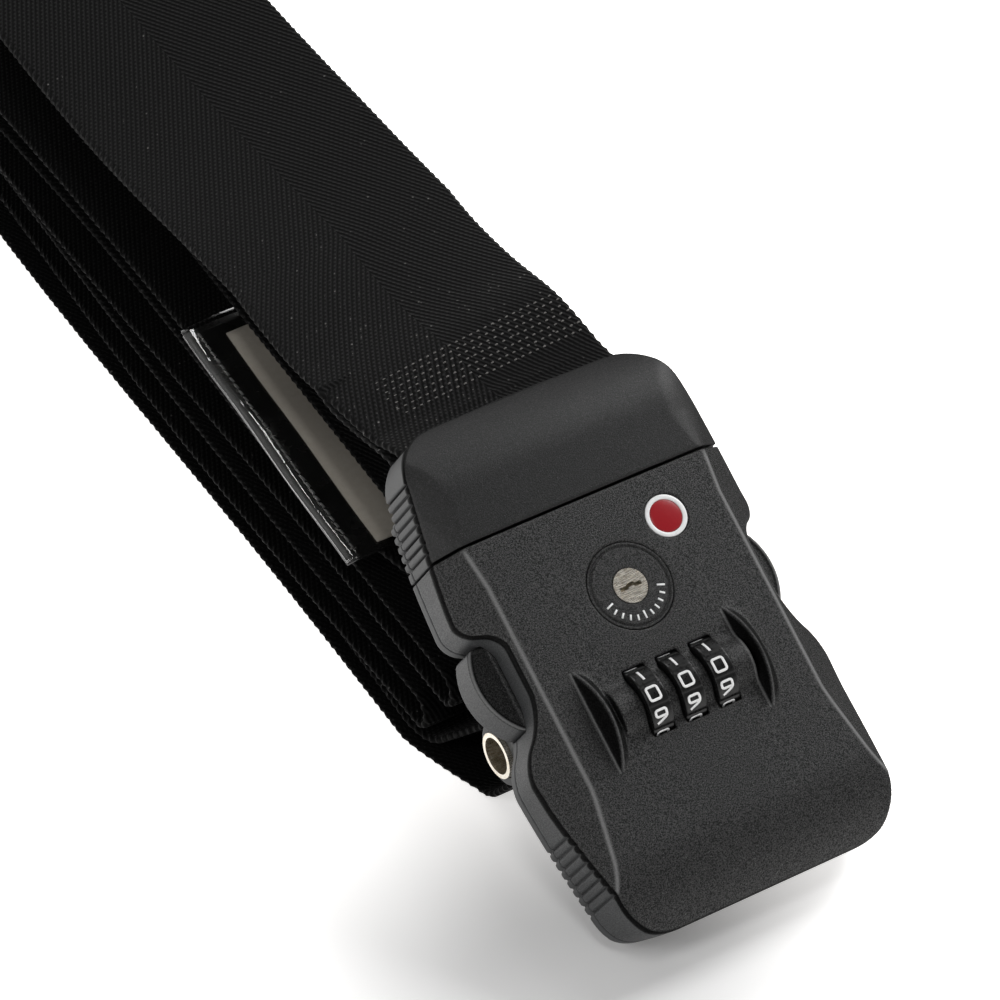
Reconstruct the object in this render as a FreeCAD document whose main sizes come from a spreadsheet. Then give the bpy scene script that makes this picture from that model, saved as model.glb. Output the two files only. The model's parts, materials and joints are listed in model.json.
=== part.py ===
"""Luggage strap with a side-release buckle that holds a three-dial combination lock.

Frame: millimetres, +Z up. The strap lies folded on a table at z = 0, X runs across the
webbing and Y along it, away from the buckle's tip. The origin is the middle of the flat
underside of the folded webbing. The buckle leans on the folded webbing, tip down.
Buckle pieces are drawn in the buckle's own frame (origin at the key plug's face, x across,
y toward the webbing, z out of the face) and are then placed with one common placement.
"""
import FreeCAD, Part
import math
import os

import Sketcher
from FreeCAD import Placement, Rotation, Vector

SIZES = [
    # webbing and folded bundle
    ("webbing_width", 50.0, "standard two-inch luggage webbing"),
    ("webbing_thick", 1.4, "polyester twill webbing"),
    ("layer_pitch", 6.8, "height between two folded layers"),
    ("near_fold_top", 26.5, "near fold of layers seven and six, from the key plug"),
    ("near_fold_mid", 15.5, "near fold of layers five and four"),
    ("near_fold_low", 26.0, "near fold of layers three and two"),
    ("far_fold_y", 288.0, "far folds, from the key plug"),
    ("join_y", 26.0, "where the lowest layer meets the end that runs to the tube"),
    ("bundle_yaw", 4.2, "degrees the folded bundle turns from the buckle"),
    ("cut_y", 76.0, "where the moving end of the webbing is divided"),
    # buckle placing
    ("pitch_angle", 34.0, "degrees the buckle leans"),
    ("key_height", 49.5, "key plug face above the table"),
    ("key_back", 150.0, "key plug in front of the origin"),
    # buckle case
    ("tip_y", -61.8, "receiver tip"),
    ("end_y", 43.2, "webbing end of the plug"),
    ("split_y", 18.9, "joint line between receiver and plug"),
    ("split_gap", 0.4, "gap at the joint line"),
    ("case_half", 33.2, "half width at the widest point"),
    ("case_depth", 18.0, "thickness of the case"),
    ("side_radius", 300.0, "long curve of the sides"),
    ("side_mid_y", -10.0, "widest point of the sides"),
    ("corner_radius", 9.5, "corners in plan"),
    ("facet_start", 25.6, "crease line of the top face"),
    ("facet_angle", 39.0, "degrees the facet slopes"),
    ("tip_roll", 26.5, "radius of the roll at the tip"),
    ("end_roll", 22.0, "radius of the roll at the webbing end"),
    ("crown_radius", 700.0, "crown of the top face"),
    ("wall", 2.4, "wall thickness"),
    ("grip_top", -7.6, "top of the side grips"),
    ("base_top", -15.0, "top of the bottom covers"),
    ("cavity_half", 23.5, "half width of the lock cavity"),
    ("cavity_top", -2.6, "ceiling of the lock cavity"),
    # side pockets and release buttons
    ("pocket_radius", 16.5, "scoop in the side around each button"),
    ("pocket_x", 44.0, "axis of the scoop"),
    ("pocket_y", -8.0, "axis of the scoop"),
    ("button_half", 9.0, "half length of the button window"),
    ("button_y", -6.7, "middle of the button"),
    ("button_top", -9.4, "top of the button window"),
    ("button_base", -17.4, "floor of the button window"),
    ("button_tip", 33.1, "outermost point of the button"),
    ("button_round", 14.0, "radius of the pressed face"),
    ("button_arc_y", -5.0, "middle of the pressed face"),
    ("button_gap", 0.12, "clearance around a button"),
    # dials
    ("dial_y", -20.9, "dial axis"),
    ("dial_z", -3.8, "dial axis"),
    ("dial_radius", 7.25, "number wheel"),
    ("dial_width", 4.6, "number wheel"),
    ("dial_pitch", 7.3, "spacing of the wheels"),
    ("slot_width", 4.85, "slot for one wheel"),
    ("slot_length", 13.4, "slot for one wheel"),
    ("hump_radius", 6.3, "barrel hump over the wheels"),
    ("guard_in", 14.5, "inner flank of a guard"),
    ("guard_out", 19.1, "outer flank of a guard"),
    ("guard_half", 10.75, "half length of a guard"),
    ("guard_rise", 3.5, "height of a guard"),
    ("shaft_radius", 1.5, "dial shaft"),
    ("sleeve_radius", 3.6, "sleeve inside a wheel"),
    # key lock
    ("key_radius", 3.4, "key plug"),
    ("collar_radius", 8.5, "collar around the key plug"),
    ("collar_thick", 1.2, "collar around the key plug"),
    ("housing_radius", 4.9, "tube around the key plug"),
    ("key_length", 11.0, "key plug"),
    ("cam_pin_at", 3.0, "cam pin from the key axis"),
    ("cam_pin_radius", 0.8, "cam pin"),
    ("slider_top", -12.3, "top of the lock slider"),
    ("slider_thick", 1.3, "lock slider"),
    # plug tongue
    ("prong_in", 8.0, "inner edge of a prong"),
    ("prong_out", 15.0, "outer edge of a prong"),
    ("prong_tip_y", -11.0, "tip of a prong"),
    ("prong_top", -4.2, "upper face of a prong"),
    ("prong_base", -7.6, "lower face of a prong"),
    # webbing bars
    ("bar_y", 36.0, "webbing bar in the plug"),
    ("bar_z", -9.5, "webbing bar in the plug"),
    ("bar_radius", 2.0, "webbing bar in the plug"),
    ("roller_y", -15.3, "tube under the receiver"),
    ("roller_z", -24.9, "tube under the receiver"),
    ("roller_radius", 4.6, "tube under the receiver"),
    ("roller_wall", 0.9, "tube under the receiver"),
    ("roller_half", 28.8, "half length of the tube"),
    ("lug_in", 25.9, "inner face of a roller lug"),
    ("lug_out", 27.9, "outer face of a roller lug"),
]

doc = FreeCAD.newDocument("LuggageStrap")
sheet = doc.addObject("Spreadsheet::Sheet", "Sizes")
for row, (alias, value, note) in enumerate(SIZES, start=1):
    sheet.set(f"A{row}", alias)
    sheet.set(f"B{row}", str(value))
    sheet.set(f"C{row}", note)
    sheet.setAlias(f"B{row}", alias)
doc.recompute()


def size(alias):
    return float(sheet.get(alias))


def value_of(expr):
    """The number an expression over the sheet stands for, such as "-tip_y + 2"."""
    return float(sheet.evalExpression(full(expr)))


def full(expr):
    """Short names of the sheet written out, so "wall * 2" becomes "Sizes.wall * 2"."""
    text = str(expr)
    words = "".join(c if c.isalnum() or c == "_" else " " for c in text).split()
    for word in sorted(set(words), key=len, reverse=True):
        if word in ALIASES:
            text = swap_word(text, word, f"Sizes.{word}")
    return text


def swap_word(text, word, new):
    out, i = "", 0
    while i < len(text):
        before = text[i - 1] if i else " "
        after = text[i + len(word)] if i + len(word) < len(text) else " "
        whole = not (before.isalnum() or before in "_.") and not (after.isalnum() or after == "_")
        if text.startswith(word, i) and whole:
            out, i = out + new, i + len(word)
        else:
            out, i = out + text[i], i + 1
    return out


ALIASES = {alias for alias, _, _ in SIZES}


# ---- building blocks: each size of a primitive is bound to the sheet ----


def bind(obj, **expressions):
    for prop, expr in expressions.items():
        obj.setExpression(prop, full(expr))
    return obj


def put(obj, x=0, y=0, z=0, rotation=None):
    """Place an object at sheet expressions, turned by a fixed rotation."""
    if rotation:
        obj.Placement = Placement(Vector(), rotation)
    for axis, expr in zip("xyz", (x, y, z)):
        obj.setExpression(f"Placement.Base.{axis}", full(expr))
    return obj


def block(name, xs, ys, zs):
    """A box from (low, high) pairs of expressions along x, y and z."""
    obj = doc.addObject("Part::Box", name)
    spans = [f"({high}) - ({low})" for low, high in (xs, ys, zs)]
    bind(obj, Length=spans[0], Width=spans[1], Height=spans[2])
    return put(obj, xs[0], ys[0], zs[0])


TURN = {
    "x": Rotation(Vector(0, 1, 0), 90),
    "y": Rotation(Vector(1, 0, 0), -90),
    "z": Rotation(),
}


def rod(name, radius, length, x, y, z, along="z"):
    """A cylinder that starts at (x, y, z) and runs along one axis."""
    obj = doc.addObject("Part::Cylinder", name)
    bind(obj, Radius=radius, Height=length)
    return put(obj, x, y, z, TURN[along])


def cut(name, base, *tools):
    tool = tools[0] if len(tools) == 1 else join(name + "_tools", *tools)
    obj = doc.addObject("Part::Cut", name)
    obj.Base, obj.Tool = base, tool
    return obj


def join(name, *parts):
    obj = doc.addObject("Part::MultiFuse", name)
    obj.Shapes = list(parts)
    return obj


def common(name, *parts):
    obj = doc.addObject("Part::MultiCommon", name)
    obj.Shapes = list(parts)
    return obj


def group(name, parts):
    """Separate solids that share one node."""
    obj = doc.addObject("Part::Compound", name)
    obj.Links = list(parts)
    return obj


def mirrored(name, source):
    obj = doc.addObject("Part::Mirroring", name)
    obj.Source = source
    obj.Normal = Vector(1, 0, 0)
    return obj


def slab(name, points, low, high):
    """A flat piece: a closed outline of (x, y) expressions, standing from z low to high."""
    sketch = doc.addObject("Sketcher::SketchObject", name + "_outline")
    corners = [Vector(value_of(x), value_of(y), 0) for x, y in points]
    count = len(corners)
    for i in range(count):
        sketch.addGeometry(Part.LineSegment(corners[i], corners[(i + 1) % count]), False)
    cons = [Sketcher.Constraint("Coincident", i, 2, (i + 1) % count, 1) for i in range(count)]
    sketch.addConstraint(cons)
    for i, (x, y) in enumerate(points):
        for kind, expr, axis in (("DistanceX", x, 0), ("DistanceY", y, 1)):
            number = sketch.addConstraint(Sketcher.Constraint(kind, -1, 1, i, 1, corners[i][axis]))
            sketch.setExpression(f"Constraints[{number}]", full(expr))
    sketch.setExpression("Placement.Base.z", full(low))
    obj = doc.addObject("Part::Extrusion", name)
    obj.Base = sketch
    obj.DirMode = "Custom"
    obj.Dir = Vector(0, 0, 1)
    obj.Solid = True
    bind(obj, LengthFwd=f"({high}) - ({low})")
    return obj


def coil(name, radius, wire_radius, length, pitch):
    """A helical spring standing on z = 0."""
    helix = Part.makeHelix(pitch, length, radius)
    start = helix.Edges[0].valueAt(helix.Edges[0].FirstParameter)
    ahead = helix.Edges[0].tangentAt(helix.Edges[0].FirstParameter)
    ring = Part.Wire(Part.makeCircle(wire_radius, start, ahead))
    obj = doc.addObject("Part::Feature", name)
    obj.Shape = Part.Wire(helix.Edges).makePipeShell([ring], True, True)
    return obj


def ribbon(name, start, heading, moves):
    """Webbing seen from its edge: straight runs and bends, given its full width.

    The path lies in the (y, z) plane. A move is ("run", length) or ("bend", radius,
    degrees), with bends to the left positive.
    """
    half, width = size("webbing_thick") / 2, size("webbing_width")
    sides = {half: [], -half: []}
    y, z, angle = start[0], start[1], math.radians(heading)
    for move in moves:
        if move[0] == "run":
            step = (math.cos(angle) * move[1], math.sin(angle) * move[1])
            for side, edges in sides.items():
                a = Vector(-width / 2, y - side * math.sin(angle), z + side * math.cos(angle))
                edges.append(Part.makeLine(a, a + Vector(0, *step)))
            y, z = y + step[0], z + step[1]
        else:
            turn = math.radians(move[2])
            way = math.copysign(1, turn)
            centre_y = y - way * move[1] * math.sin(angle)
            centre_z = z + way * move[1] * math.cos(angle)
            for side, edges in sides.items():
                reach = move[1] - way * side
                at = [
                    Vector(
                        -width / 2,
                        centre_y + way * reach * math.sin(angle + turn * part),
                        centre_z - way * reach * math.cos(angle + turn * part),
                    )
                    for part in (0, 0.5, 1)
                ]
                edges.append(Part.Arc(*at).toShape())
            angle += turn
            y = centre_y + way * move[1] * math.sin(angle)
            z = centre_z - way * move[1] * math.cos(angle)
    left, right = sides[half], sides[-half]
    caps = [
        Part.makeLine(left[0].firstVertex().Point, right[0].firstVertex().Point),
        Part.makeLine(left[-1].lastVertex().Point, right[-1].lastVertex().Point),
    ]
    outline = Part.Wire(Part.__sortEdges__(left + right + caps))
    obj = doc.addObject("Part::Feature", name)
    obj.Shape = Part.Face(outline).extrude(Vector(width, 0, 0))
    return obj, (y, z, math.degrees(angle))


# ---- the common outline of the buckle ----


def plan(name, inset):
    """The buckle's plan, moved in by inset: long curved sides and round corners."""
    plate = block(
        name + "_plate",
        (f"-case_half + {inset}", f"case_half - {inset}"),
        (f"tip_y + {inset}", f"end_y - {inset}"),
        ("-case_depth", 8),
    )
    doc.recompute()
    rounded = doc.addObject("Part::Fillet", name + "_corners")
    rounded.Base = plate
    radius = value_of(f"corner_radius - {inset}")
    rounded.Edges = [
        (i, radius, radius)
        for i, edge in enumerate(plate.Shape.Edges, start=1)
        if abs(edge.tangentAt(0).z) > 0.9
    ]
    across = "side_radius - case_half"
    reach = f"side_radius - {inset}"
    deep = "case_depth + 8"
    right = rod(name + "_right_curve", reach, deep, f"-({across})", "side_mid_y", "-case_depth")
    left = rod(name + "_left_curve", reach, deep, across, "side_mid_y", "-case_depth")
    body = common(name + "_body", rounded, right, left)
    scoop = f"pocket_radius + {inset}"
    pockets = [
        rod(f"{name}_pocket_{side}", scoop, deep, x, "pocket_y", "-case_depth")
        for side, x in (("right", "pocket_x"), ("left", "-pocket_x"))
    ]
    return cut(name, body, *pockets)


def case_form():
    """The closed outer form of receiver and plug together."""
    outer = plan("case_plan", 0)
    crown = rod("case_crown", "crown_radius", "end_y - tip_y", 0, "tip_y", "-crown_radius", "y")
    shoulder = 14
    middle = block(
        "case_middle", (-40, 40), ("tip_y + 17", f"end_y - {shoulder}"), ("-case_depth", 8)
    )
    tip = rod("case_tip", "tip_roll", 80, -40, "tip_y + 17", "-tip_roll + 0.2", "x")
    end = rod("case_end", "end_roll", 80, -40, f"end_y - {shoulder}", "-end_roll + 0.1", "x")
    below = block("case_below", (-40, 40), ("tip_y", "end_y"), ("-case_depth", "-case_depth + 8"))
    rolled = join("case_rolled", middle, tip, end, below)
    facets = []
    for side, way in (("right", 1), ("left", -1)):
        facet = doc.addObject("Part::Box", f"case_facet_{side}")
        facet.Length, facet.Width, facet.Height = 30, 200, 20
        turn = Rotation(Vector(0, 1, 0), way * size("facet_angle"))
        if way < 0:
            shift = turn.multVec(Vector(-30, 0, 0))
            put(facet, f"-facet_start + {shift.x}", -100, f"-0.45 + {shift.z}", turn)
        else:
            put(facet, "facet_start", -100, "-0.45", turn)
        facets.append(facet)
    return cut("case_form", common("case_crowned", outer, crown, rolled), *facets)


case = case_form()
inner = plan("inner_plan", "wall")

RECEIVER_Y = ("tip_y", "split_y - split_gap / 2")
PLUG_Y = ("split_y + split_gap / 2", "end_y")
GRIP_TIP_Y = -52
sub_parts = {}


def keep(label, obj, placement=None):
    """Name a finished sub-part and put it in the common frame."""
    if obj.ExpressionEngine:
        # a primitive that is placed by the sheet is moved as the only member of a group
        obj = group(label + "_placed", [obj])
    obj.Label = label
    obj.Placement = buckle_placement() if placement is None else placement
    sub_parts[label] = obj
    return obj


def buckle_placement():
    return Placement(
        Vector(0, -size("key_back"), size("key_height")),
        Rotation(Vector(1, 0, 0), size("pitch_angle")),
    )


# ---- receiver ----


def side_windows():
    """Openings in both sides that the release buttons slide through."""
    right = block(
        "window_right",
        (18.8, 40),
        ("button_y - button_half", "button_y + button_half"),
        ("button_base", "button_top"),
    )
    left = block(
        "window_left",
        (-40, -18.8),
        ("button_y - button_half", "button_y + button_half"),
        ("button_base", "button_top"),
    )
    return [right, left]


windows = side_windows()


def guards():
    """Half-moon fins that stand beside the wheels."""
    fins = []
    radius = "(guard_half * guard_half + guard_rise * guard_rise) / (2 * guard_rise)"
    for side, x in (("right", "guard_in"), ("left", "-guard_out")):
        disc = rod(
            f"guard_disc_{side}",
            radius,
            "guard_out - guard_in",
            x,
            "dial_y",
            f"guard_rise - ({radius})",
            "x",
        )
        half = "guard_half"
        stand = block(
            f"guard_zone_{side}",
            (x, f"{x} + guard_out - guard_in"),
            (f"dial_y - {half}", f"dial_y + {half}"),
            ("cavity_top + 0.5", "guard_rise"),
        )
        fins.append(common(f"guard_{side}", disc, stand))
    return fins


def receiver_top_shell():
    span = block("receiver_zone", (-40, 40), RECEIVER_Y, ("base_top", 8))
    outer = common("receiver_outer", case, span)
    band = block("grip_band", (-40, 40), (GRIP_TIP_Y, 20), ("base_top", "grip_top"))
    ring = cut("receiver_grip_zone", band, inner)
    cavity = block(
        "lock_cavity",
        ("-cavity_half", "cavity_half"),
        ("tip_y + 9", "split_y"),
        ("base_top", "cavity_top"),
    )
    hump = rod("hump", "hump_radius", "guard_in * 2", "-guard_in", "dial_y", "dial_z", "x")
    hump_zone = block("hump_zone", (-30, 30), (-40, 0), ("cavity_top + 0.2", 8))
    collar = rod("collar_seat", "collar_radius + 0.05", 3, 0, 0, "-collar_thick")
    tube = rod("housing_hole", "housing_radius + 0.05", 20, 0, 0, -12)
    badge_seat = rod("badge_seat", 4.6, 3, 13.3, 9.5, -1.1)
    slots = [
        block(
            f"dial_slot_{i + 1}",
            (f"{i - 1} * dial_pitch - slot_width / 2", f"{i - 1} * dial_pitch + slot_width / 2"),
            ("dial_y - slot_length / 2", "dial_y + slot_length / 2"),
            (-14, 8),
        )
        for i in range(3)
    ]
    posts = [
        block(f"shaft_post_{s}", (a, b), ("dial_y - 3.5", "dial_y + 3.5"), ("dial_z - 4", "cavity_top + 0.3"))
        for s, a, b in (("right", 12.4, 15.6), ("left", -15.6, -12.4))
    ]
    shaft_hole = rod("shaft_hole", "shaft_radius + 0.03", 29, -14.5, "dial_y", "dial_z", "x")
    hollow = cut("receiver_hollow", outer, cavity, ring)
    raised = join("receiver_raised", hollow, common("hump_cap", hump, hump_zone), *guards(), *posts)
    rooms = [
        rod(f"wheel_room_{i + 1}", "dial_radius + 0.2", "slot_width",
            f"{i - 1} * dial_pitch - slot_width / 2", "dial_y", "dial_z", "x")
        for i in range(3)
    ]
    tools = [collar, tube, badge_seat, shaft_hole, *slots, *rooms, *windows]
    keep("receiver_top_shell", cut("receiver_top_shell", raised, *tools))


def ribbed(name, base, side, first_y, pitch, count=8):
    """Eight upright finger grooves cut in the outside of a side grip."""
    way = 1 if side == "right" else -1
    grooves = []
    for i in range(count):
        y = value_of(first_y) + pitch * i
        reach = size("case_half") - (y - size("side_mid_y")) ** 2 / (2 * size("side_radius"))
        grooves.append(rod(f"{name}_groove_{i + 1}", 0.62, 12, way * (reach + 0.12), y, -16))
    return cut(name, base, *grooves)


def receiver_grips():
    """Smooth grips along the receiver's sides, ribbed near the tip."""
    for side, xs in (("right", (5, 40)), ("left", (-40, -5))):
        name = f"receiver_grip_{side}"
        zone = block(name + "_zone", xs, (GRIP_TIP_Y + 0.02, RECEIVER_Y[1]), ("base_top", "grip_top"))
        strip = cut(name + "_strip", common(name + "_outer", case, zone), inner, *windows)
        keep(name, ribbed(name, strip, side, "-50.7", 1.93))


SCREWS = [(21.2, -50.5), (-21.2, -50.5), (21.2, 13.5), (-21.2, 13.5)]


def receiver_bottom_cover():
    span = block("cover_zone", (-40, 40), RECEIVER_Y, ("-case_depth - 1", "base_top"))
    plate = common("cover_plate", case, span)
    lugs = []
    for side, xs in (("right", ("lug_in", "lug_out")), ("left", ("-lug_out", "-lug_in"))):
        arm = block(
            f"lug_arm_{side}",
            xs,
            ("roller_y - 6.4", "roller_y + 6.4"),
            ("roller_z", "-case_depth + 0.3"),
        )
        eye = rod(f"lug_eye_{side}", 6.4, "lug_out - lug_in", xs[0], "roller_y", "roller_z", "x")
        lugs += [arm, eye]
    bore = rod("roller_bore", "roller_radius + 0.06", 80, -40, "roller_y", "roller_z", "x")
    seats = []
    for i, (x, y) in enumerate(SCREWS, start=1):
        seats.append(rod(f"screw_hole_{i}", 1.25, 10, x, y, -20))
        seats.append(rod(f"screw_seat_{i}", 2.35, 3, x, y, "-case_depth - 1.4"))
    reset_hole = rod("reset_hole", 2.06, 10, 9.0, -34.0, -20)
    coil_hole = rod("reset_seat", 3.3, 1.6, 9.0, -34.0, "base_top - 1.5")
    solid = join("cover_with_lugs", plate, *lugs)
    tools = [bore, reset_hole, coil_hole, *seats, *windows]
    keep("receiver_bottom_cover", cut("receiver_bottom_cover", solid, *tools))


def screw(name, x, y, bottom, length=6.5):
    """Cross-head screw seen from below: head, shank and two crossed slots."""
    head = rod(name + "_head", 2.2, 1.3, x, y, bottom)
    shank = rod(name + "_shank", 1.2, length, x, y, bottom)
    slot_depth = (f"{bottom} - 1", f"{bottom} + 0.8")
    slot_a = block(name + "_slot_a", (x - 1.3, x + 1.3), (y - 0.3, y + 0.3), slot_depth)
    slot_b = block(name + "_slot_b", (x - 0.3, x + 0.3), (y - 1.3, y + 1.3), slot_depth)
    return cut(name, join(name + "_form", head, shank), slot_a, slot_b)


def screw_bosses():
    """Posts inside the top shell that the screws bite into."""
    posts = []
    for i, (x, y) in enumerate(SCREWS, start=1):
        post = rod(f"boss_{i}", 2.2, "cavity_top - base_top - 0.1", x, y, "base_top + 0.05")
        hole = rod(f"boss_hole_{i}", 1.25, 6, x, y, "base_top - 0.5")
        posts.append(cut(f"boss_post_{i}", post, hole))
    keep("screw_bosses", group("screw_bosses", posts))


def receiver_screws():
    bottoms = "-case_depth + 0.2"
    screws = [screw(f"receiver_screw_{i}", x, y, bottoms) for i, (x, y) in enumerate(SCREWS, start=1)]
    keep("receiver_screws", group("receiver_screws", screws))


def webbing_roller():
    outer = rod("roller_outer", "roller_radius", "roller_half * 2", "-roller_half", "roller_y", "roller_z", "x")
    bore = rod("roller_inner", "roller_radius - roller_wall", 80, -40, "roller_y", "roller_z", "x")
    keep("webbing_roller", cut("webbing_roller", outer, bore))


def release_buttons():
    """A curved cap on a sliding block, with a flange that keeps it in and a finger."""
    for side, way in (("right", 1), ("left", -1)):
        name = f"button_{side}"
        low, high = "button_base + button_gap", "button_top - button_gap"
        ys = ("button_y - button_half + button_gap", "button_y + button_half - button_gap")
        body = block(name + "_block", (21.6, 35), ys, (low, high))
        face = rod(name + "_face", "button_round", 20, "button_tip - button_round", "button_arc_y", -24)
        inside = block(name + "_inside", (21.6, 28), ys, (low, high))
        cap = join(name + "_cap", common(name + "_curved", body, face), inside)
        flange = block(
            name + "_flange",
            (21.6, 23.3),
            ("button_y - button_half - 1.3", "button_y + button_half + 1.3"),
            ("base_top + 0.15", high),
        )
        finger = block(name + "_finger", (21.6, 23.3), ("button_y - 3", "button_y + 3"), (low, "prong_top"))
        solid = join(name + "_solid", cap, flange, finger)
        if way < 0:
            solid = mirrored(name + "_mirror", solid)
        keep(f"release_button_{side}", solid)


def button_springs():
    """Short coils that push the buttons out; each end runs in a seat on the inner wall."""
    for side, way in (("right", 1), ("left", -1)):
        spring = coil(f"button_spring_{side}", 1.4, 0.2, 5.6, 1.4)
        there = Placement(Vector(way * 15.8, size("button_y"), -12.2), Rotation(Vector(0, 1, 0), way * 90))
        keep(f"button_spring_{side}", spring, buckle_placement() * there)
        post_length = ("button_y - 2.6", "button_y + 2.6")
        post = block(f"seat_{side}_post", (10.2, 17.0), post_length, ("base_top + 0.05", "-9.6"))
        bore = rod(f"seat_{side}_bore", 1.9, 8, 12.2, "button_y", -12.2, "x")
        seat = cut(f"seat_{side}_form", post, bore)
        seats.append(seat if way > 0 else mirrored(f"seat_{side}_mirror", seat))


seats = []


def spring_seats():
    keep("spring_seats", group("spring_seats", seats))


# ---- combination lock ----


def dial_wheels():
    """Number wheels: ten finger notches between the numbers, one body per wheel."""
    for i in range(3):
        left = f"{i - 1} * dial_pitch - dial_width / 2"
        rim = rod(f"wheel_{i + 1}_rim", "dial_radius", "dial_width", left, "dial_y", "dial_z", "x")
        bore = rod(f"wheel_{i + 1}_bore", "sleeve_radius + 0.02", 8, f"({left}) - 1", "dial_y", "dial_z", "x")
        notches = []
        for k in range(10):
            angle = math.radians(36 * k + 18)
            y = f"dial_y + (dial_radius + 0.15) * {math.cos(angle + math.pi / 2):.6f}"
            z = f"dial_z + (dial_radius + 0.15) * {math.sin(angle + math.pi / 2):.6f}"
            notches.append(rod(f"wheel_{i + 1}_notch_{k}", 0.42, 8, f"({left}) - 1", y, z, "x"))
        keep(f"dial_wheel_{i + 1}", cut(f"dial_wheel_{i + 1}", rim, bore, *notches))


def dial_sleeves():
    """Inner sleeves that turn with the wheels, each with one flat for the slider."""
    for i in range(3):
        left = f"{i - 1} * dial_pitch - dial_width / 2"
        tube = rod(f"sleeve_{i + 1}_tube", "sleeve_radius", "dial_width", left, "dial_y", "dial_z", "x")
        bore = rod(f"sleeve_{i + 1}_bore", "shaft_radius + 0.05", 8, f"({left}) - 1", "dial_y", "dial_z", "x")
        flat = block(
            f"sleeve_{i + 1}_flat",
            (f"({left}) - 1", f"({left}) + 7"),
            ("dial_y - 4", "dial_y + 4"),
            ("dial_z - sleeve_radius - 1", "dial_z - sleeve_radius + 0.5"),
        )
        keep(f"dial_sleeve_{i + 1}", cut(f"dial_sleeve_{i + 1}", tube, bore, flat))


def dial_shaft():
    keep("dial_shaft", rod("shaft_rod", "shaft_radius", 28.8, -14.4, "dial_y", "dial_z", "x"))


def detent_spring():
    """Leaf with three fingers that click in the notches of the wheels."""
    strip = block("detent_strip", (-11, 11), (-36.2, -33.2), (-6.0, -5.5))
    fingers = []
    for i in (-1, 0, 1):
        width = (f"{i} * dial_pitch - 1.5", f"{i} * dial_pitch + 1.5")
        fingers.append(block(f"detent_finger_{i}", width, (-33.3, -28.6), (-6.0, -5.5)))
    foot = block("detent_foot", (-11, 11), (-36.2, -35.7), (-6.0, "cavity_top - 0.05"))
    keep("detent_spring", join("detent_spring", strip, foot, *fingers))


def key_lock():
    """Collar and tube fixed in the top shell, with the turning key plug inside."""
    collar = rod("collar_disc", "collar_radius", "collar_thick - 0.15", 0, 0, "-collar_thick")
    groove = cut(
        "collar_groove",
        rod("collar_groove_out", "collar_radius - 0.55", 2, 0, 0, "-0.45"),
        rod("collar_groove_in", "collar_radius - 0.95", 2, 0, 0, "-0.45"),
    )
    tube = rod("housing_tube", "housing_radius", "key_length - 0.4", 0, 0, "-key_length + 0.2")
    bore = rod("housing_bore", "key_radius + 0.04", 30, 0, 0, -20)
    keep("key_housing", cut("key_housing", join("housing_form", collar, tube), groove, bore))

    plug = rod("plug_round", "key_radius", "key_length", 0, 0, "-key_length")
    way = [
        block("keyway_a", (-2.3, -0.6), (-0.5, 0.25), (-6, 2)),
        block("keyway_b", (-0.8, 0.9), (-0.15, 0.6), (-6, 2)),
        block("keyway_c", (0.7, 2.3), (-0.5, 0.25), (-6, 2)),
    ]
    keep("key_plug", cut("key_plug", plug, *way))

    disc = rod("cam_disc", 4.3, 1.0, 0, 0, "-key_length - 1.05")
    pin_x = f"cam_pin_at * {math.cos(math.radians(-45)):.6f}"
    pin_y = f"cam_pin_at * {math.sin(math.radians(-45)):.6f}"
    pin = rod("cam_pin", "cam_pin_radius", 2.6, pin_x, pin_y, "-key_length - 3.4")
    keep("key_cam", join("key_cam", disc, pin))


def lock_slider():
    """Flat bolt under the dials, driven by the cam pin through a cross slot."""
    low, high = "slider_top - slider_thick", "slider_top"
    right_edge = [(9.5, -29.5), (9.5, -13.5), (5.6, -10), (5.6, 4)]
    left_edge = [(-x, y) for x, y in reversed(right_edge)]
    plate = slab("slider_plate", right_edge + left_edge, low, high)
    slot = block("slider_cross_slot", (0.7, 4.6), (-3.2, -1.04), (-15, -10))
    tabs = []
    for i in (-1, 0, 1):
        width = (f"{i} * dial_pitch - 0.6", f"{i} * dial_pitch + 0.6")
        tabs.append(block(f"slider_tab_{i}", width, (-29.5, -28.2), (low, -10.6)))
    keep("lock_slider", cut("lock_slider", join("slider_form", plate, *tabs), slot))


def slider_spring():
    spring = coil("slider_spring", 1.0, 0.2, 7.0, 1.4)
    there = Placement(Vector(-3, 9.6, -13.1), Rotation(Vector(1, 0, 0), -90))
    keep("slider_spring", spring, buckle_placement() * there)


def reset_button():
    """Small sprung button in the bottom cover that frees the dials to be set."""
    stem = rod("reset_stem", 2.0, 4.6, 9.0, -34.0, "-case_depth + 0.3")
    flange = rod("reset_flange", 3.2, 0.8, 9.0, -34.0, "base_top - 1.4")
    keep("reset_button", join("reset_button", stem, flange))


def badge():
    """Round inlay beside the key lock."""
    disc = rod("badge_disc", 4.55, 0.75, 13.3, 9.5, "-1.1")
    rim = cut(
        "badge_step",
        rod("badge_step_out", 3.7, 1, 13.3, 9.5, "-0.5"),
        rod("badge_step_in", 1.6, 1, 13.3, 9.5, "-0.5"),
    )
    keep("badge_inlay", cut("badge_inlay", disc, rim))


# ---- plug ----


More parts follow.
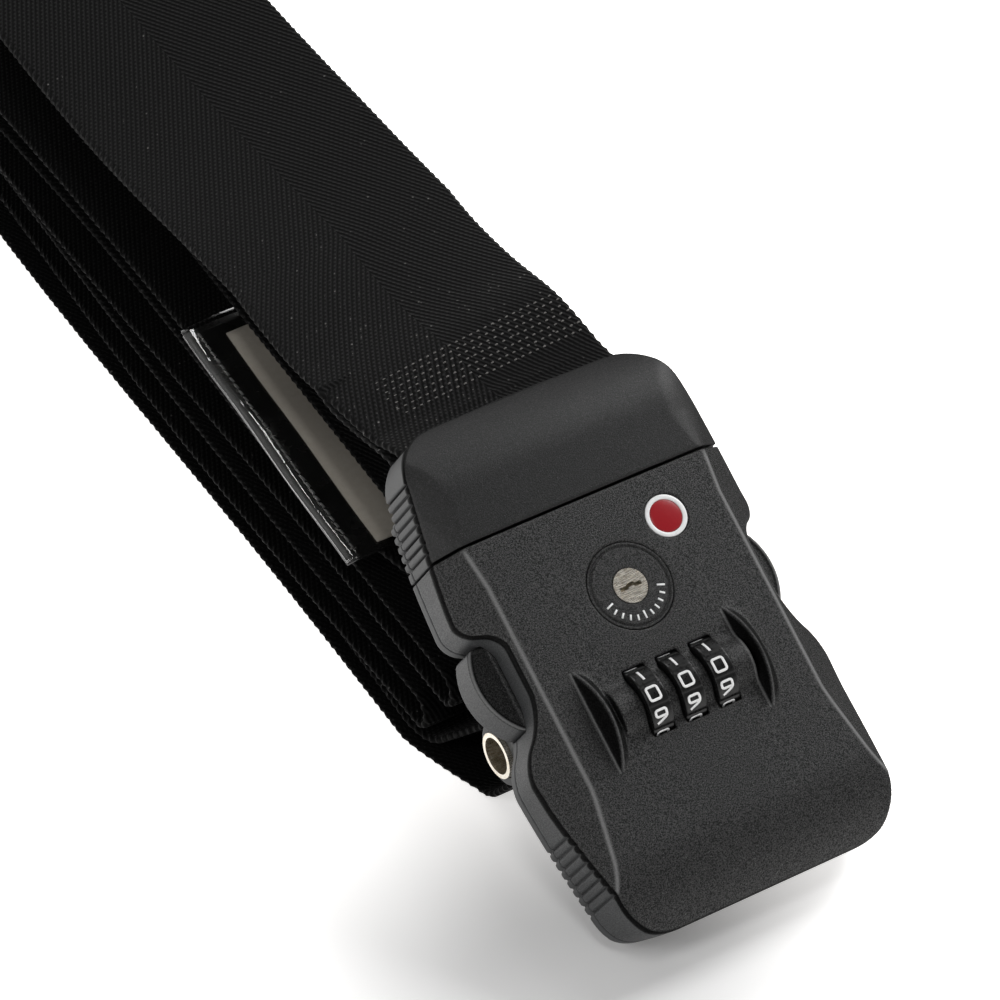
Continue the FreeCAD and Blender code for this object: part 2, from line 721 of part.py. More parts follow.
def plug_top_shell():
    span = block("plug_zone", (-40, 40), PLUG_Y, ("base_top", 8))
    band = cut(
        "plug_grip_zone",
        block("plug_band", (-40, 40), ("split_y", "end_y - 6"), ("base_top", "grip_top")),
        inner,
    )
    rear = block(
        "webbing_room",
        (-25.45, 25.45),
        ("bar_y - 5.2", "end_y + 1"),
        ("-case_depth", "bar_z + 4.2"),
    )
    room_length = ("split_y", "bar_y - 6.6")
    base_room = block("tongue_room", (-20.2, 20.2), room_length, ("base_top", "prong_top + 0.1"))
    bar_hole = rod("bar_hole", "bar_radius + 0.02", 53.4, -26.7, "bar_y", "bar_z", "x")
    outer = common("plug_outer", case, span)
    keep("plug_top_shell", cut("plug_top_shell", outer, band, rear, base_room, bar_hole))


def plug_grips():
    for side, xs in (("right", (5, 40)), ("left", (-40, -5))):
        zone = block(f"plug_grip_{side}_zone", xs, (PLUG_Y[0], "end_y - 6.02"), ("base_top", "grip_top"))
        strip = cut(f"plug_grip_{side}_strip", common(f"plug_grip_{side}_outer", case, zone), inner)
        keep(f"plug_grip_{side}", ribbed(f"plug_grip_{side}", strip, side, "21.3", 1.85))


PLUG_SCREWS = [(13.0, 25.5), (-13.0, 25.5)]


def plug_bottom_cover():
    span = block("plug_cover_zone", (-40, 40), (PLUG_Y[0], "bar_y - 5.2"), ("-case_depth - 1", "base_top"))
    seats_here = []
    for i, (x, y) in enumerate(PLUG_SCREWS, start=1):
        seats_here.append(rod(f"plug_screw_hole_{i}", 1.25, 10, x, y, -22))
        seats_here.append(rod(f"plug_screw_seat_{i}", 2.35, 3, x, y, "-case_depth - 1.4"))
    keep("plug_bottom_cover", cut("plug_bottom_cover", common("plug_cover_plate", case, span), *seats_here))


def plug_tongue():
    """Base block held between the plug covers, with two prongs that end in hooks."""
    top, low = "prong_top", "prong_base"
    base = block("tongue_base", (-20, 20), (PLUG_Y[0], "bar_y - 6.8"), ("base_top + 0.02", top))
    hook_y = "prong_tip_y"
    prong = slab(
        "prong_right",
        [
            ("prong_in", "split_y + 0.5"),
            ("prong_in", f"{hook_y} + 1.5"),
            ("prong_in + 1.5", hook_y),
            ("prong_out - 1.5", hook_y),
            ("prong_out + 3.7", f"{hook_y} + 5"),
            ("prong_out + 3.7", f"{hook_y} + 7"),
            ("prong_out", f"{hook_y} + 7.6"),
            ("prong_out", "split_y + 0.5"),
        ],
        low,
        top,
    )
    holes = [
        rod(f"tongue_screw_hole_{i}", 1.22, 8, x, y, -16)
        for i, (x, y) in enumerate(PLUG_SCREWS, start=1)
    ]
    solid = join("tongue_form", base, prong, mirrored("prong_left", prong))
    keep("plug_tongue", cut("plug_tongue", solid, *holes))


def plug_screws():
    bottoms = "-case_depth + 0.2"
    screws = [screw(f"plug_screw_{i}", x, y, bottoms) for i, (x, y) in enumerate(PLUG_SCREWS, start=1)]
    keep("plug_screws", group("plug_screws", screws))


def webbing_bar():
    keep("webbing_bar", rod("bar_rod", "bar_radius", 53.2, -26.6, "bar_y", "bar_z", "x"))


# ---- webbing: drawn from its edge, then turned with the bundle ----


def bar_centre():
    """The plug's webbing bar in the common frame, as (y, z) from the key plug."""
    lean = math.radians(size("pitch_angle"))
    y, z = size("bar_y"), size("bar_z")
    return (
        y * math.cos(lean) - z * math.sin(lean),
        y * math.sin(lean) + z * math.cos(lean) + size("key_height"),
    )


def roller_centre():
    """The tube under the receiver in the common frame, as (y, z) from the key plug."""
    lean = math.radians(size("pitch_angle"))
    y, z = size("roller_y"), size("roller_z")
    return (
        y * math.cos(lean) - z * math.sin(lean),
        y * math.sin(lean) + z * math.cos(lean) + size("key_height"),
    )


def sewn_end():
    """Start point and moves of the webbing sewn round the plug's bar.

    The lower arm meets the bar from below, the upper arm leaves over its top, and both
    run together where they are sewn.
    """
    bar_y, bar_z = bar_centre()
    lean = math.radians(9)
    wrap = size("bar_radius") + size("webbing_thick") / 2 + 0.1
    apart = size("webbing_thick") / 2 + 0.02
    arm = (wrap * math.cos(lean) - 10 * (1 - math.cos(lean)) - apart) / math.sin(lean)
    sewn = 20
    start_y = bar_y + wrap * math.sin(lean) + arm * math.cos(lean) + 10 * math.sin(lean) + sewn
    moves = [
        ("run", sewn),
        ("bend", 10, 9),
        ("run", arm),
        ("bend", wrap, -198),
        ("run", arm),
        ("bend", 10, 9),
        ("run", 28),
    ]
    return (start_y, bar_z - apart), moves


def folded_moves(end_y, end_z, heading):
    """Moves from the far end of the top layer down through seven flat layers."""
    pitch, far = size("layer_pitch"), size("far_fold_y")
    thick = size("webbing_thick")
    seventh = thick / 2 + 6 * pitch
    tilt = math.radians(heading)
    moves = [("bend", (end_z - seventh) / (1 + math.cos(tilt)), -(180 + heading))]
    y = end_y + moves[0][1] * math.sin(tilt)
    near = {7: size("near_fold_top"), 5: size("near_fold_mid"), 3: size("near_fold_low")}
    for layer in range(7, 0, -1):
        if layer % 2:
            stop = near.get(layer, 0) + pitch / 2
        else:
            stop = far - pitch / 2
        moves.append(("run", abs(stop - y)))
        y = stop
        if layer > 1:
            moves.append(("bend", pitch / 2, 180 if layer % 2 else -180))
    return moves


def moving_zone(name, gap):
    """Space above a plane that lies along the plug's travel, around the top layer."""
    lean = size("pitch_angle")
    turn = Rotation(Vector(1, 0, 0), lean)
    box = doc.addObject("Part::Box", name + "_box")
    box.Length, box.Width, box.Height = 200, 300, 80
    lift = turn.multVec(Vector(0, 0, gap))
    at = Vector(-100, size("cut_y"), 62) + turn.multVec(Vector(0, -200, 0)) + lift
    box.Placement = Placement(at, turn)
    upper = block(name + "_upper", (-100, 100), (-100, "cut_y + 30"), ("54", "200"))
    return common(name, box, upper)


def from_key(yawed=False):
    """Placement of pieces drawn with y measured from the key plug and z from the table."""
    back = Placement(Vector(0, -size("key_back"), 0), Rotation())
    if not yawed:
        return back
    return back * yaw_placement()


def yaw_placement():
    pivot = Vector(0, size("cut_y"), 0)
    turn = Rotation(Vector(0, 0, 1), -size("bundle_yaw"))
    return Placement(pivot - turn.multVec(pivot), turn)


def webbing_pieces():
    """One strap in three nodes: the end that travels with the plug, the folded rest,
    and the end that runs round the tube under the receiver."""
    start, moves = sewn_end()
    # level behind the plug, then sinking onto the folded layers
    moves += [("run", 8), ("bend", 90, -9.5), ("run", 55), ("bend", 90, 9), ("run", 111)]
    top, (end_y, end_z, heading) = ribbon("top_layer", start, 180, moves)
    moving = common("webbing_plug_end", top, moving_zone("moving_zone", 0.05))
    keep("webbing_plug_end", moving, from_key())

    whole, _ = ribbon("whole_strap", start, 180, moves + folded_moves(end_y, end_z, heading))
    whole.Placement = yaw_placement()
    front = block("front_zone", (-100, 100), (-100, "join_y"), (-1, 4))
    rest = cut("webbing_bundle", whole, moving_zone("fixed_zone", -0.01), front)
    keep("webbing_bundle", rest, from_key())


def roller_end():
    """From the table up round the tube, then back as a loose tail between two layers."""
    thick = size("webbing_thick")
    centre_y, centre_z = roller_centre()
    wrap = size("roller_radius") + thick / 2 + 0.25
    rise = math.radians(50)
    bend = 9.0
    # Tangent from the table, at the rise angle, to the tube's front.
    touch = (centre_y - wrap * math.sin(rise), centre_z - wrap * math.cos(rise))
    bend_end_z = thick / 2 + bend * (1 - math.cos(rise))
    climb = (touch[1] - bend_end_z) / math.sin(rise)
    bend_start_y = touch[0] + climb * math.cos(rise) + bend * math.sin(rise)
    tail_z, fall = 3.6, math.radians(44)
    off = (centre_y + wrap * math.sin(fall), centre_z + wrap * math.cos(fall))
    drop = (off[1] - tail_z - bend * (1 - math.cos(fall))) / math.sin(fall)
    moves = [
        ("run", size("join_y") - 0.1 - bend_start_y),
        ("bend", bend, -50),
        ("run", climb),
        ("bend", wrap, -(130 + 44)),
        ("run", drop),
        ("bend", bend, 44),
        ("run", 95),
    ]
    strip, _ = ribbon("roller_strip", (size("join_y") - 0.1, thick / 2), 180, moves)
    keep("webbing_roller_end", strip, from_key())


def luggage_label():
    """Card in a clear pouch that is sewn on the sixth layer."""
    top = size("webbing_thick") + 5 * size("layer_pitch")
    pieces = (
        ("id_backing", (-29.5, 23.5), (48, 123), (top + 0.05, top + 0.55)),
        ("id_card", (-21.5, 18.5), (51, 118), (top + 0.6, top + 0.95)),
        ("id_window", (-29.5, 23.5), (48, 123), (top + 1.0, top + 1.45)),
    )
    for name, xs, ys, zs in pieces:
        keep(name, block(name + "_sheet", xs, ys, zs), from_key(yawed=True))


def stitches():
    """Cross stitches that hold the sewn end, lying on the top layer."""
    start, moves = sewn_end()
    first_y = start[0] - 14
    height = start[1] + size("webbing_thick") * 1.5 + 0.05
    threads = []
    for row in range(4):
        for column in range(11):
            x = -22.5 + 4.5 * column
            y = first_y + 2.4 * row
            length = (x - 0.8, x + 0.8)
            name = f"thread_{row}_{column}"
            threads.append(block(name, length, (y - 0.2, y + 0.2), (height, height + 0.25)))
    keep("end_stitches", group("end_stitches", threads), from_key())


receiver_top_shell()
receiver_grips()
receiver_bottom_cover()
screw_bosses()
receiver_screws()
webbing_roller()
release_buttons()
button_springs()
spring_seats()
dial_wheels()
dial_sleeves()
dial_shaft()
detent_spring()
key_lock()
lock_slider()
slider_spring()
reset_button()
badge()
plug_top_shell()
plug_grips()
plug_bottom_cover()
plug_tongue()
plug_screws()
webbing_bar()
webbing_pieces()
roller_end()
luggage_label()
stitches()

doc.recompute()
problems = [o.Name for o in doc.Objects if {"Invalid", "Error"} & set(o.State)]
for label, obj in sub_parts.items():
    shape = obj.Shape
    if shape.isNull() or not shape.isValid() or not shape.Solids:
        problems.append(label)
    else:
        print(label, len(shape.Solids), "solids", round(shape.Volume, 1), "mm3")
if problems:
    raise RuntimeError(f"these objects did not build: {problems}")
os.makedirs("parts", exist_ok=True)
for label, obj in sub_parts.items():
    obj.Shape.exportStep(os.path.join("parts", label + ".step"))
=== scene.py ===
"""Looks of the luggage strap: moulded buckle, number wheels, folded webbing and studio.

Buckle pieces are drawn in the buckle's own millimetres (origin at the key plug's face,
x across, y toward the webbing, z out of the face) as signed distances, which are turned
into fine meshes. The webbing is swept along its path in the common frame.
"""
import json
import math

import bpy
import numpy as np
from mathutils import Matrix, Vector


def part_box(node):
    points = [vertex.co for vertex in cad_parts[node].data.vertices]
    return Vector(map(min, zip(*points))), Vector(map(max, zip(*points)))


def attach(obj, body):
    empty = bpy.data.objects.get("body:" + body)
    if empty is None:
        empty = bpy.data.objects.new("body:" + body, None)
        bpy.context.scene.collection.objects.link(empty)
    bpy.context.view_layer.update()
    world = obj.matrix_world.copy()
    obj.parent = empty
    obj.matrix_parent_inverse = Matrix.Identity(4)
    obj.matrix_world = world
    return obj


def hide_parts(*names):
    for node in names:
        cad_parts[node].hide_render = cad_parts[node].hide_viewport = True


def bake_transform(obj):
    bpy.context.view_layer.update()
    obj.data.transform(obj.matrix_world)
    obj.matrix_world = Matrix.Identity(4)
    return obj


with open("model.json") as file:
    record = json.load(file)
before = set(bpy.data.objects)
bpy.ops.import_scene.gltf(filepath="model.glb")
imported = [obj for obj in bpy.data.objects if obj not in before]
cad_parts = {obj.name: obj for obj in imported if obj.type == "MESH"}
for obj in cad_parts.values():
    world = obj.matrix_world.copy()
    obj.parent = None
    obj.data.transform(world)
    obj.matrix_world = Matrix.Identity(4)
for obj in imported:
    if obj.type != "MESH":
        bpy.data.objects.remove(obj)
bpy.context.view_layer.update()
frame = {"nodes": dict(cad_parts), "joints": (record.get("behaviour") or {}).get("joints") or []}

import openvdb
from mathutils import Matrix, Vector

JOINTS = {joint["name"]: joint for joint in frame["joints"]}
STEP = 0.25  # spacing of the moulded meshes, millimetres


def middle(node):
    low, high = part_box(node)
    return (low + high) / 2


# ---- the buckle's own frame, read from the joints ----

OUT = Vector(JOINTS["key_turn"]["axis"]).normalized()
ALONG = Vector(JOINTS["plug_slide"]["axis"]).normalized()
ACROSS = ALONG.cross(OUT)
FACE = Vector(JOINTS["key_turn"]["pos_m"])
BUCKLE = (
    Matrix.Translation(FACE)
    @ Matrix((ACROSS, ALONG, OUT)).transposed().to_4x4()
    @ Matrix.Scale(0.001, 4)
)


def in_buckle(point):
    """A point of the common frame in the buckle's own millimetres."""
    return BUCKLE.inverted() @ point


# ---- node helpers ----


def node(tree, kind, inputs=None, **settings):
    made = tree.nodes.new("ShaderNode" + kind)
    for key, value in settings.items():
        setattr(made, key, value)
    for key, value in (inputs or {}).items():
        if isinstance(value, bpy.types.NodeSocket):
            tree.links.new(value, made.inputs[key])
        else:
            made.inputs[key].default_value = value
    return made


def maths(tree, operation, a, b=0.0, c=0.0):
    return node(tree, "Math", {0: a, 1: b, 2: c}, operation=operation).outputs[0]


def new_material(name, **values):
    mat = bpy.data.materials.new(name)
    mat.use_nodes = True
    shader = mat.node_tree.nodes["Principled BSDF"]
    for key, value in values.items():
        shader.inputs[key.replace("_", " ")].default_value = value
    return mat, mat.node_tree, shader


def grey(level, warm=0.0):
    return (level * (1 + warm), level, level * (1 - warm), 1)


def mix(tree, factor, a, b):
    made = node(tree, "Mix", data_type="RGBA")
    for slot_name, value in (("Factor", factor), ("A", a), ("B", b)):
        sockets = [s for s in made.inputs if s.name == slot_name and s.enabled]
        if isinstance(value, bpy.types.NodeSocket):
            tree.links.new(value, sockets[0])
        else:
            sockets[0].default_value = value
    return [s for s in made.outputs if s.enabled][0]


def ramp(tree, value, low, high, to_low=0.0, to_high=1.0):
    made = node(
        tree,
        "MapRange",
        {"Value": value, "From Min": low, "From Max": high, "To Min": to_low, "To Max": to_high},
        interpolation_type="SMOOTHSTEP",
    )
    return made.outputs["Result"]


def noise(tree, point, scale, detail=2.0, rough=0.5):
    inputs = {"Vector": point, "Scale": scale, "Detail": detail, "Roughness": rough}
    return node(tree, "TexNoise", inputs).outputs[0]


def bump(tree, height, distance, strength=1.0):
    sizes = {"Height": height, "Distance": distance, "Strength": strength}
    return node(tree, "Bump", sizes).outputs["Normal"]


def place_point(tree, moulded_here=True):
    """Millimetres on the piece: the buckle's own on moulded meshes, else the frame's."""
    if moulded_here:
        return node(tree, "Attribute", attribute_name="place").outputs["Vector"]
    point = node(tree, "TexCoord").outputs["Object"]
    return node(tree, "VectorMath", {0: point, "Scale": 1000.0}, operation="SCALE").outputs[0]


# ---- materials ----


def moulded_plastic(name, skin, in_mm=True, tooth=1.0):
    """Black plastic: grain with painted glints, satin, or grain on the cover with satin walls below a
    dark seam.

    tooth is how strongly the grain and its painted glints show. The cover kind also paints highlights
    and shade from the marks on its mesh.
    """
    mat, tree, shader = new_material(name)
    point = place_point(tree, in_mm)
    coarse = noise(tree, point, 3.6, 3.0, 0.7)
    fine = noise(tree, point, 9.0)
    broad = noise(tree, point, 0.09)
    # painted glints: bright specks painted into the grain's colour, standing in for light caught by
    # the grain
    speck = node(tree, "TexVoronoi", {"Vector": point, "Scale": 3.6}, feature="F1")
    painted_glint = ramp(tree, speck.outputs["Distance"], 0.34, 0.12)
    chance = ramp(tree, node(tree, "SeparateColor", {0: speck.outputs["Color"]}).outputs[0], 0.5, 0.95)
    painted_glint = maths(tree, "MULTIPLY", painted_glint, chance)
    if skin == "satin":
        grain_amount, satin_amount = 0.0, 1.0
    elif skin == "grain":
        grain_amount, satin_amount = 1.0, 0.0
    else:
        cover = node(tree, "Attribute", attribute_name="cover").outputs["Fac"]
        grain_amount = ramp(tree, cover, -0.5, -0.35)
        satin_amount = maths(tree, "SUBTRACT", 1.0, grain_amount)
        seam = ramp(tree, maths(tree, "ABSOLUTE", maths(tree, "ADD", cover, 1.05)), 0.45, 1.15)
    painted_glint = maths(tree, "MULTIPLY", painted_glint, grain_amount)
    pits = ramp(tree, coarse, 0.40, 0.62)
    grain_colour = mix(tree, pits, grey(0.0035), grey(0.0035 + 0.009 * tooth))
    # the painted glints are mixed in as light grey
    grain_colour = mix(tree, painted_glint, grain_colour, grey(0.03 + 0.06 * tooth))
    patchy = ramp(tree, broad, 0.3, 0.7)
    satin_colour = mix(tree, patchy, grey(0.030, -0.03), grey(0.036, -0.03))
    colour = mix(tree, satin_amount, grain_colour, satin_colour)
    if skin == "cover":
        colour = mix(tree, seam, grey(0.002), colour)
        # painted highlight: the marked creases, fin edges and button rims are painted light grey
        crease = node(tree, "Attribute", attribute_name="crease").outputs["Fac"]
        colour = mix(tree, crease, colour, grey(0.16))
        # painted shade: the fins' hollow flanks and the grip grooves are painted near black
        dark = node(tree, "Attribute", attribute_name="flank").outputs["Fac"]
        colour = mix(tree, dark, colour, grey(0.001))
    tree.links.new(colour, shader.inputs["Base Color"])
    rough = maths(tree, "MULTIPLY_ADD", broad, 0.06, 0.44)
    tree.links.new(maths(tree, "MULTIPLY_ADD", satin_amount, 0.03, rough), shader.inputs["Roughness"])
    height = maths(tree, "MULTIPLY", coarse, grain_amount)
    height = maths(tree, "MULTIPLY_ADD", fine, 0.12, height)
    tree.links.new(bump(tree, height, 0.00012, 0.3 + 0.5 * tooth), shader.inputs["Normal"])
    shine = ramp(tree, coarse, 0.38, 0.64, 0.36 - 0.16 * tooth, 0.36 + 0.2 * tooth)
    if skin == "cover":
        # the painted shade also takes the shine away there
        shine = maths(tree, "MULTIPLY", shine, ramp(tree, dark, 0.0, 1.0, 1.0, 0.12))
        shine = maths(tree, "MULTIPLY", shine, ramp(tree, seam, 0.0, 1.0, 0.1, 1.0))
    # a coarse surface shades itself at a low angle
    glancing = node(tree, "LayerWeight", {"Blend": 0.5}).outputs["Facing"]
    glancing = maths(tree, "MULTIPLY", glancing, grain_amount)
    shine = maths(tree, "MULTIPLY", shine, ramp(tree, glancing, 0.2, 0.6, 1.0, 0.1))
    tree.links.new(shine, shader.inputs["Specular IOR Level"])
    return mat


def gloss_plastic(name):
    mat, tree, shader = new_material(name, Base_Color=grey(0.004), Roughness=0.3)
    point = place_point(tree)
    wear = noise(tree, point, 1.4, 4.0)
    tree.links.new(ramp(tree, wear, 0.3, 0.8, 0.26, 0.4), shader.inputs["Roughness"])
    shader.inputs["Specular IOR Level"].default_value = 0.3
    tree.links.new(bump(tree, wear, 0.00001, 0.4), shader.inputs["Normal"])
    return mat


def metal(name, colour, dark, rough=0.28, in_mm=False, scale=1.2):
    """Plated or drawn metal with faint scratches and stains."""
    mat, tree, shader = new_material(name, Metallic=1.0, Roughness=rough)
    point = place_point(tree, in_mm)
    stain = noise(tree, point, scale, 5.0, 0.6)
    stretched = node(tree, "Mapping", {"Vector": point, "Scale": (0.4, 6.0, 6.0)}).outputs[0]
    scratch = noise(tree, stretched, 1.5, 3.0)
    colour = mix(tree, ramp(tree, stain, 0.35, 0.75), colour, dark)
    tree.links.new(colour, shader.inputs["Base Color"])
    worn = ramp(tree, scratch, 0.3, 0.7, rough - 0.08, rough + 0.12)
    tree.links.new(worn, shader.inputs["Roughness"])
    tree.links.new(bump(tree, scratch, 0.00002, 0.3), shader.inputs["Normal"])
    return mat


def paint(name, colour, rough=0.4):
    mat, tree, shader = new_material(name, Roughness=rough)
    point = place_point(tree)
    mottle = noise(tree, point, 2.0, 3.0)
    dim = tuple(0.86 * part for part in colour[:3]) + (1,)
    tree.links.new(mix(tree, mottle, dim, colour), shader.inputs["Base Color"])
    tree.links.new(bump(tree, mottle, 0.00002, 0.3), shader.inputs["Normal"])
    return mat


def thread(name, colour):
    """Twisted sewing thread."""
    mat, tree, shader = new_material(name, Roughness=0.45)
    point = place_point(tree, False)
    twist = node(tree, "TexWave", {"Vector": point, "Scale": 1.6, "Distortion": 0.5})
    dark = tuple(0.5 * part for part in colour[:3]) + (1,)
    tree.links.new(mix(tree, twist.outputs[1], dark, colour), shader.inputs["Base Color"])
    tree.links.new(bump(tree, twist.outputs[1], 0.0001, 0.5), shader.inputs["Normal"])
    return mat


TWILL = math.radians(25)
RIB = 0.98  # pitch of the twill's ribs, millimetres
BEAD = 1.25  # pitch of the beads along a rib


def woven(name):
    """Chevron twill in strap coordinates: u across from the middle and s along, in mm."""
    mat, tree, shader = new_material(name, Roughness=0.62)
    strap = node(tree, "Attribute", attribute_name="strap").outputs["Vector"]
    parts = node(tree, "SeparateXYZ", {0: strap})
    across = maths(tree, "ABSOLUTE", parts.outputs["X"])
    along = parts.outputs["Y"]
    slow = noise(tree, strap, 0.05)
    hair = noise(tree, strap, 2.2, 3.0)
    wobble = maths(tree, "MULTIPLY_ADD", hair, 0.16, along)
    climb = maths(tree, "MULTIPLY", wobble, math.sin(TWILL))
    rib = maths(tree, "ADD", maths(tree, "MULTIPLY", across, math.cos(TWILL)), climb)
    ridge = maths(tree, "SINE", maths(tree, "MULTIPLY", rib, 2 * math.pi / RIB))
    ridge = maths(tree, "MULTIPLY_ADD", ridge, 0.5, 0.5)
    rank = maths(tree, "FLOOR", maths(tree, "DIVIDE", rib, RIB))
    aside = maths(tree, "MULTIPLY", across, math.sin(TWILL))
    run = maths(tree, "SUBTRACT", maths(tree, "MULTIPLY", along, math.cos(TWILL)), aside)
    run = maths(tree, "MULTIPLY_ADD", rank, 0.55, run)
    bead = maths(tree, "SINE", maths(tree, "MULTIPLY", run, 2 * math.pi / BEAD))
    bead = maths(tree, "MULTIPLY_ADD", bead, 0.5, 0.5)
    weave = maths(tree, "MULTIPLY", ridge, maths(tree, "MULTIPLY_ADD", bead, 0.4, 0.6))
    # painted glints: bright specks painted on the tops of the weave's beads, more of them near the
    # sewn end
    speck = node(tree, "TexVoronoi", {"Vector": strap, "Scale": 0.85}, feature="F1")
    painted_sparkle = ramp(tree, speck.outputs["Distance"], 0.28, 0.08)
    chance = node(tree, "SeparateColor", {0: speck.outputs["Color"]}).outputs[0]
    near = ramp(tree, along, 150.0, 60.0, 0.90, 0.66)
    chance = maths(tree, "SUBTRACT", chance, near)
    painted_sparkle = maths(tree, "MULTIPLY", painted_sparkle, ramp(tree, chance, 0.0, 0.1))
    painted_sparkle = maths(tree, "MULTIPLY", painted_sparkle, ramp(tree, weave, 0.45, 0.8))
    dark, light = grey(0.0006), grey(0.0050)
    colour = mix(tree, weave, dark, light)
    colour = mix(tree, ramp(tree, slow, 0.3, 0.75, 0.0, 0.3), colour, grey(0.0025))
    colour = mix(tree, painted_sparkle, colour, grey(0.16, 0.03))
    # the third coordinate is painted shade: the folded layers are painted darker than the top one, for
    # the shade they lie in
    colour = mix(tree, parts.outputs["Z"], grey(0.0), colour)
    tree.links.new(colour, shader.inputs["Base Color"])
    height = maths(tree, "MULTIPLY_ADD", hair, 0.18, weave)
    tree.links.new(bump(tree, height, 0.00035, 0.8), shader.inputs["Normal"])
    tree.links.new(ramp(tree, weave, 0.1, 0.9, 0.75, 0.52), shader.inputs["Roughness"])
    shader.inputs["Sheen Weight"].default_value = 0.015
    shader.inputs["Sheen Roughness"].default_value = 0.4
    # the painted shade also dims the shine of the folded layers
    shine = maths(tree, "MULTIPLY", parts.outputs["Z"], 0.08)
    tree.links.new(shine, shader.inputs["Specular IOR Level"])
    return mat


def clear_vinyl():
    """Clear soft vinyl: a thin glossy film, wavy enough to break its glare up."""
    mat, tree, shader = new_material("clear_vinyl")
    point = place_point(tree, False)
    wave = noise(tree, point, 0.11, 1.5)
    gloss = node(tree, "BsdfGlossy", {"Color": (1, 1, 1, 1), "Roughness": 0.05})
    through = node(tree, "BsdfTransparent", {"Color": (0.93, 0.93, 0.92, 1)})
    edge = node(tree, "Fresnel", {"IOR": 1.5})
    normal = bump(tree, wave, 0.0005, 0.6)
    for made in (gloss, edge):
        tree.links.new(normal, made.inputs["Normal"])
    # only the outer side of the film mirrors
    outer = maths(tree, "SUBTRACT", 1.0, node(tree, "NewGeometry").outputs["Backfacing"])
    amount = maths(tree, "MULTIPLY", edge.outputs[0], outer)
    both = node(tree, "MixShader", {0: amount, 1: through.outputs[0], 2: gloss.outputs[0]})
    tree.links.new(both.outputs[0], tree.nodes["Material Output"].inputs["Surface"])
    return mat


def black_vinyl():
    mat, tree, shader = new_material("black_vinyl", Base_Color=grey(0.006), Roughness=0.22)
    point = place_point(tree, False)
    wave = noise(tree, point, 0.14, 3.0)
    tree.links.new(bump(tree, wave, 0.0004, 0.5), shader.inputs["Normal"])
    tree.links.new(ramp(tree, wave, 0.3, 0.7, 0.14, 0.32), shader.inputs["Roughness"])
    return mat


def card_stock():
    mat, tree, shader = new_material("card_stock", Roughness=0.7)
    point = place_point(tree, False)
    fibre = noise(tree, point, 0.8, 5.0)
    colour = mix(tree, fibre, (0.33, 0.30, 0.27, 1), (0.42, 0.39, 0.35, 1))
    tree.links.new(colour, shader.inputs["Base Color"])
    tree.links.new(bump(tree, fibre, 0.0001, 0.3), shader.inputs["Normal"])
    return mat


GRAIN = moulded_plastic("grained_plastic", "cover", tooth=1.25)
PLUG_GRAIN = moulded_plastic("plug_plastic", "cover", tooth=0.3)
BASE = moulded_plastic("base_plastic", "satin", tooth=0.2)
INNER = moulded_plastic("inner_plastic", "satin", False, 0.2)
CAP = moulded_plastic("button_plastic", "cover", tooth=1.2)
GLOSS = gloss_plastic("wheel_plastic")
COLLAR = moulded_plastic("collar_plastic", "grain")
NICKEL = metal("nickel_plate", (0.95, 0.90, 0.80, 1), (0.76, 0.68, 0.56, 1), 0.24)
STEEL = metal("spring_steel", (0.55, 0.55, 0.56, 1), (0.36, 0.36, 0.37, 1), 0.3)
BRASS = metal("wheel_brass", (0.75, 0.56, 0.27, 1), (0.5, 0.36, 0.17, 1), 0.32)
WHITE = paint("white_paint", (0.82, 0.82, 0.82, 1))
RED = paint("red_enamel", (0.30, 0.003, 0.009, 1), 0.3)
WEBBING = woven("twill_webbing")
THREAD = thread("stitch_thread", grey(0.05))
TACKING = thread("tacking_thread", grey(0.20, 0.05))
VINYL = clear_vinyl()
BORDER = black_vinyl()
CARD = card_stock()


# ---- signed distances in the buckle's millimetres (negative inside) ----


def round_max(a, b, r):
    """Overlap of two solids with its edge rounded by r."""
    return np.minimum(-r, np.maximum(a, b)) + np.hypot(np.maximum(a + r, 0), np.maximum(b + r, 0))


def soft_min(a, b, k):
    """Union of two solids with a fillet of about k."""
    h = np.clip(0.5 + 0.5 * (b - a) / k, 0, 1)
    return b + (a - b) * h - k * h * (1 - h)


def span(v, low, high):
    """Distance outside a slab between two values."""
    return np.maximum(low - v, v - high)


def box_field(x, y, z, xs, ys, zs, r=0.3):
    return round_max(round_max(span(x, *xs), span(y, *ys), r), span(z, *zs), r)


def disc_field(a, b, centre, radius):
    return np.hypot(a - centre[0], b - centre[1]) - radius


def half_width(y):
    return 33.2 - (y + 10) ** 2 / 600


def outline(x, y):
    """The buckle's plan: long curved sides, round corners, a scoop beside each button."""
    far = abs(x)
    plan = round_max(far - half_width(y), span(y, -61.8, 43.2), 9.5)
    bottom = 26.9 - far
    upper = -0.48 * (far - 30.9) + 0.877 * (y - 3.5)
    lower = -0.78 * (far - 30.6) - 0.62 * (y + 19.7)
    scoop = round_max(round_max(bottom, upper, 2.5), lower, 3.0)
    return round_max(plan, -scoop, 2.6)


def ribs(y, cover, first, pitch, depth, count=8):
    """Upright finger grooves in the side grips, below the cover's edge."""
    offset = (y - first) / pitch
    nearest = np.clip(np.round(offset), 0, count - 1)
    groove = np.exp(-(((offset - nearest) * pitch / 0.27) ** 2))
    return depth * groove * np.clip((-0.3 - cover) / 0.5, 0, 1)


def top_face(x, y, z):
    """Crowned face with a roll at the tip and at the webbing end."""
    tip = np.hypot(np.minimum(y + 44.8, 0), z + 26.5) - 26.5
    end = np.hypot(np.maximum(y - 29.0, 0), z + 22.0) - 22.0
    return np.maximum(tip, end) + x**2 / 1400


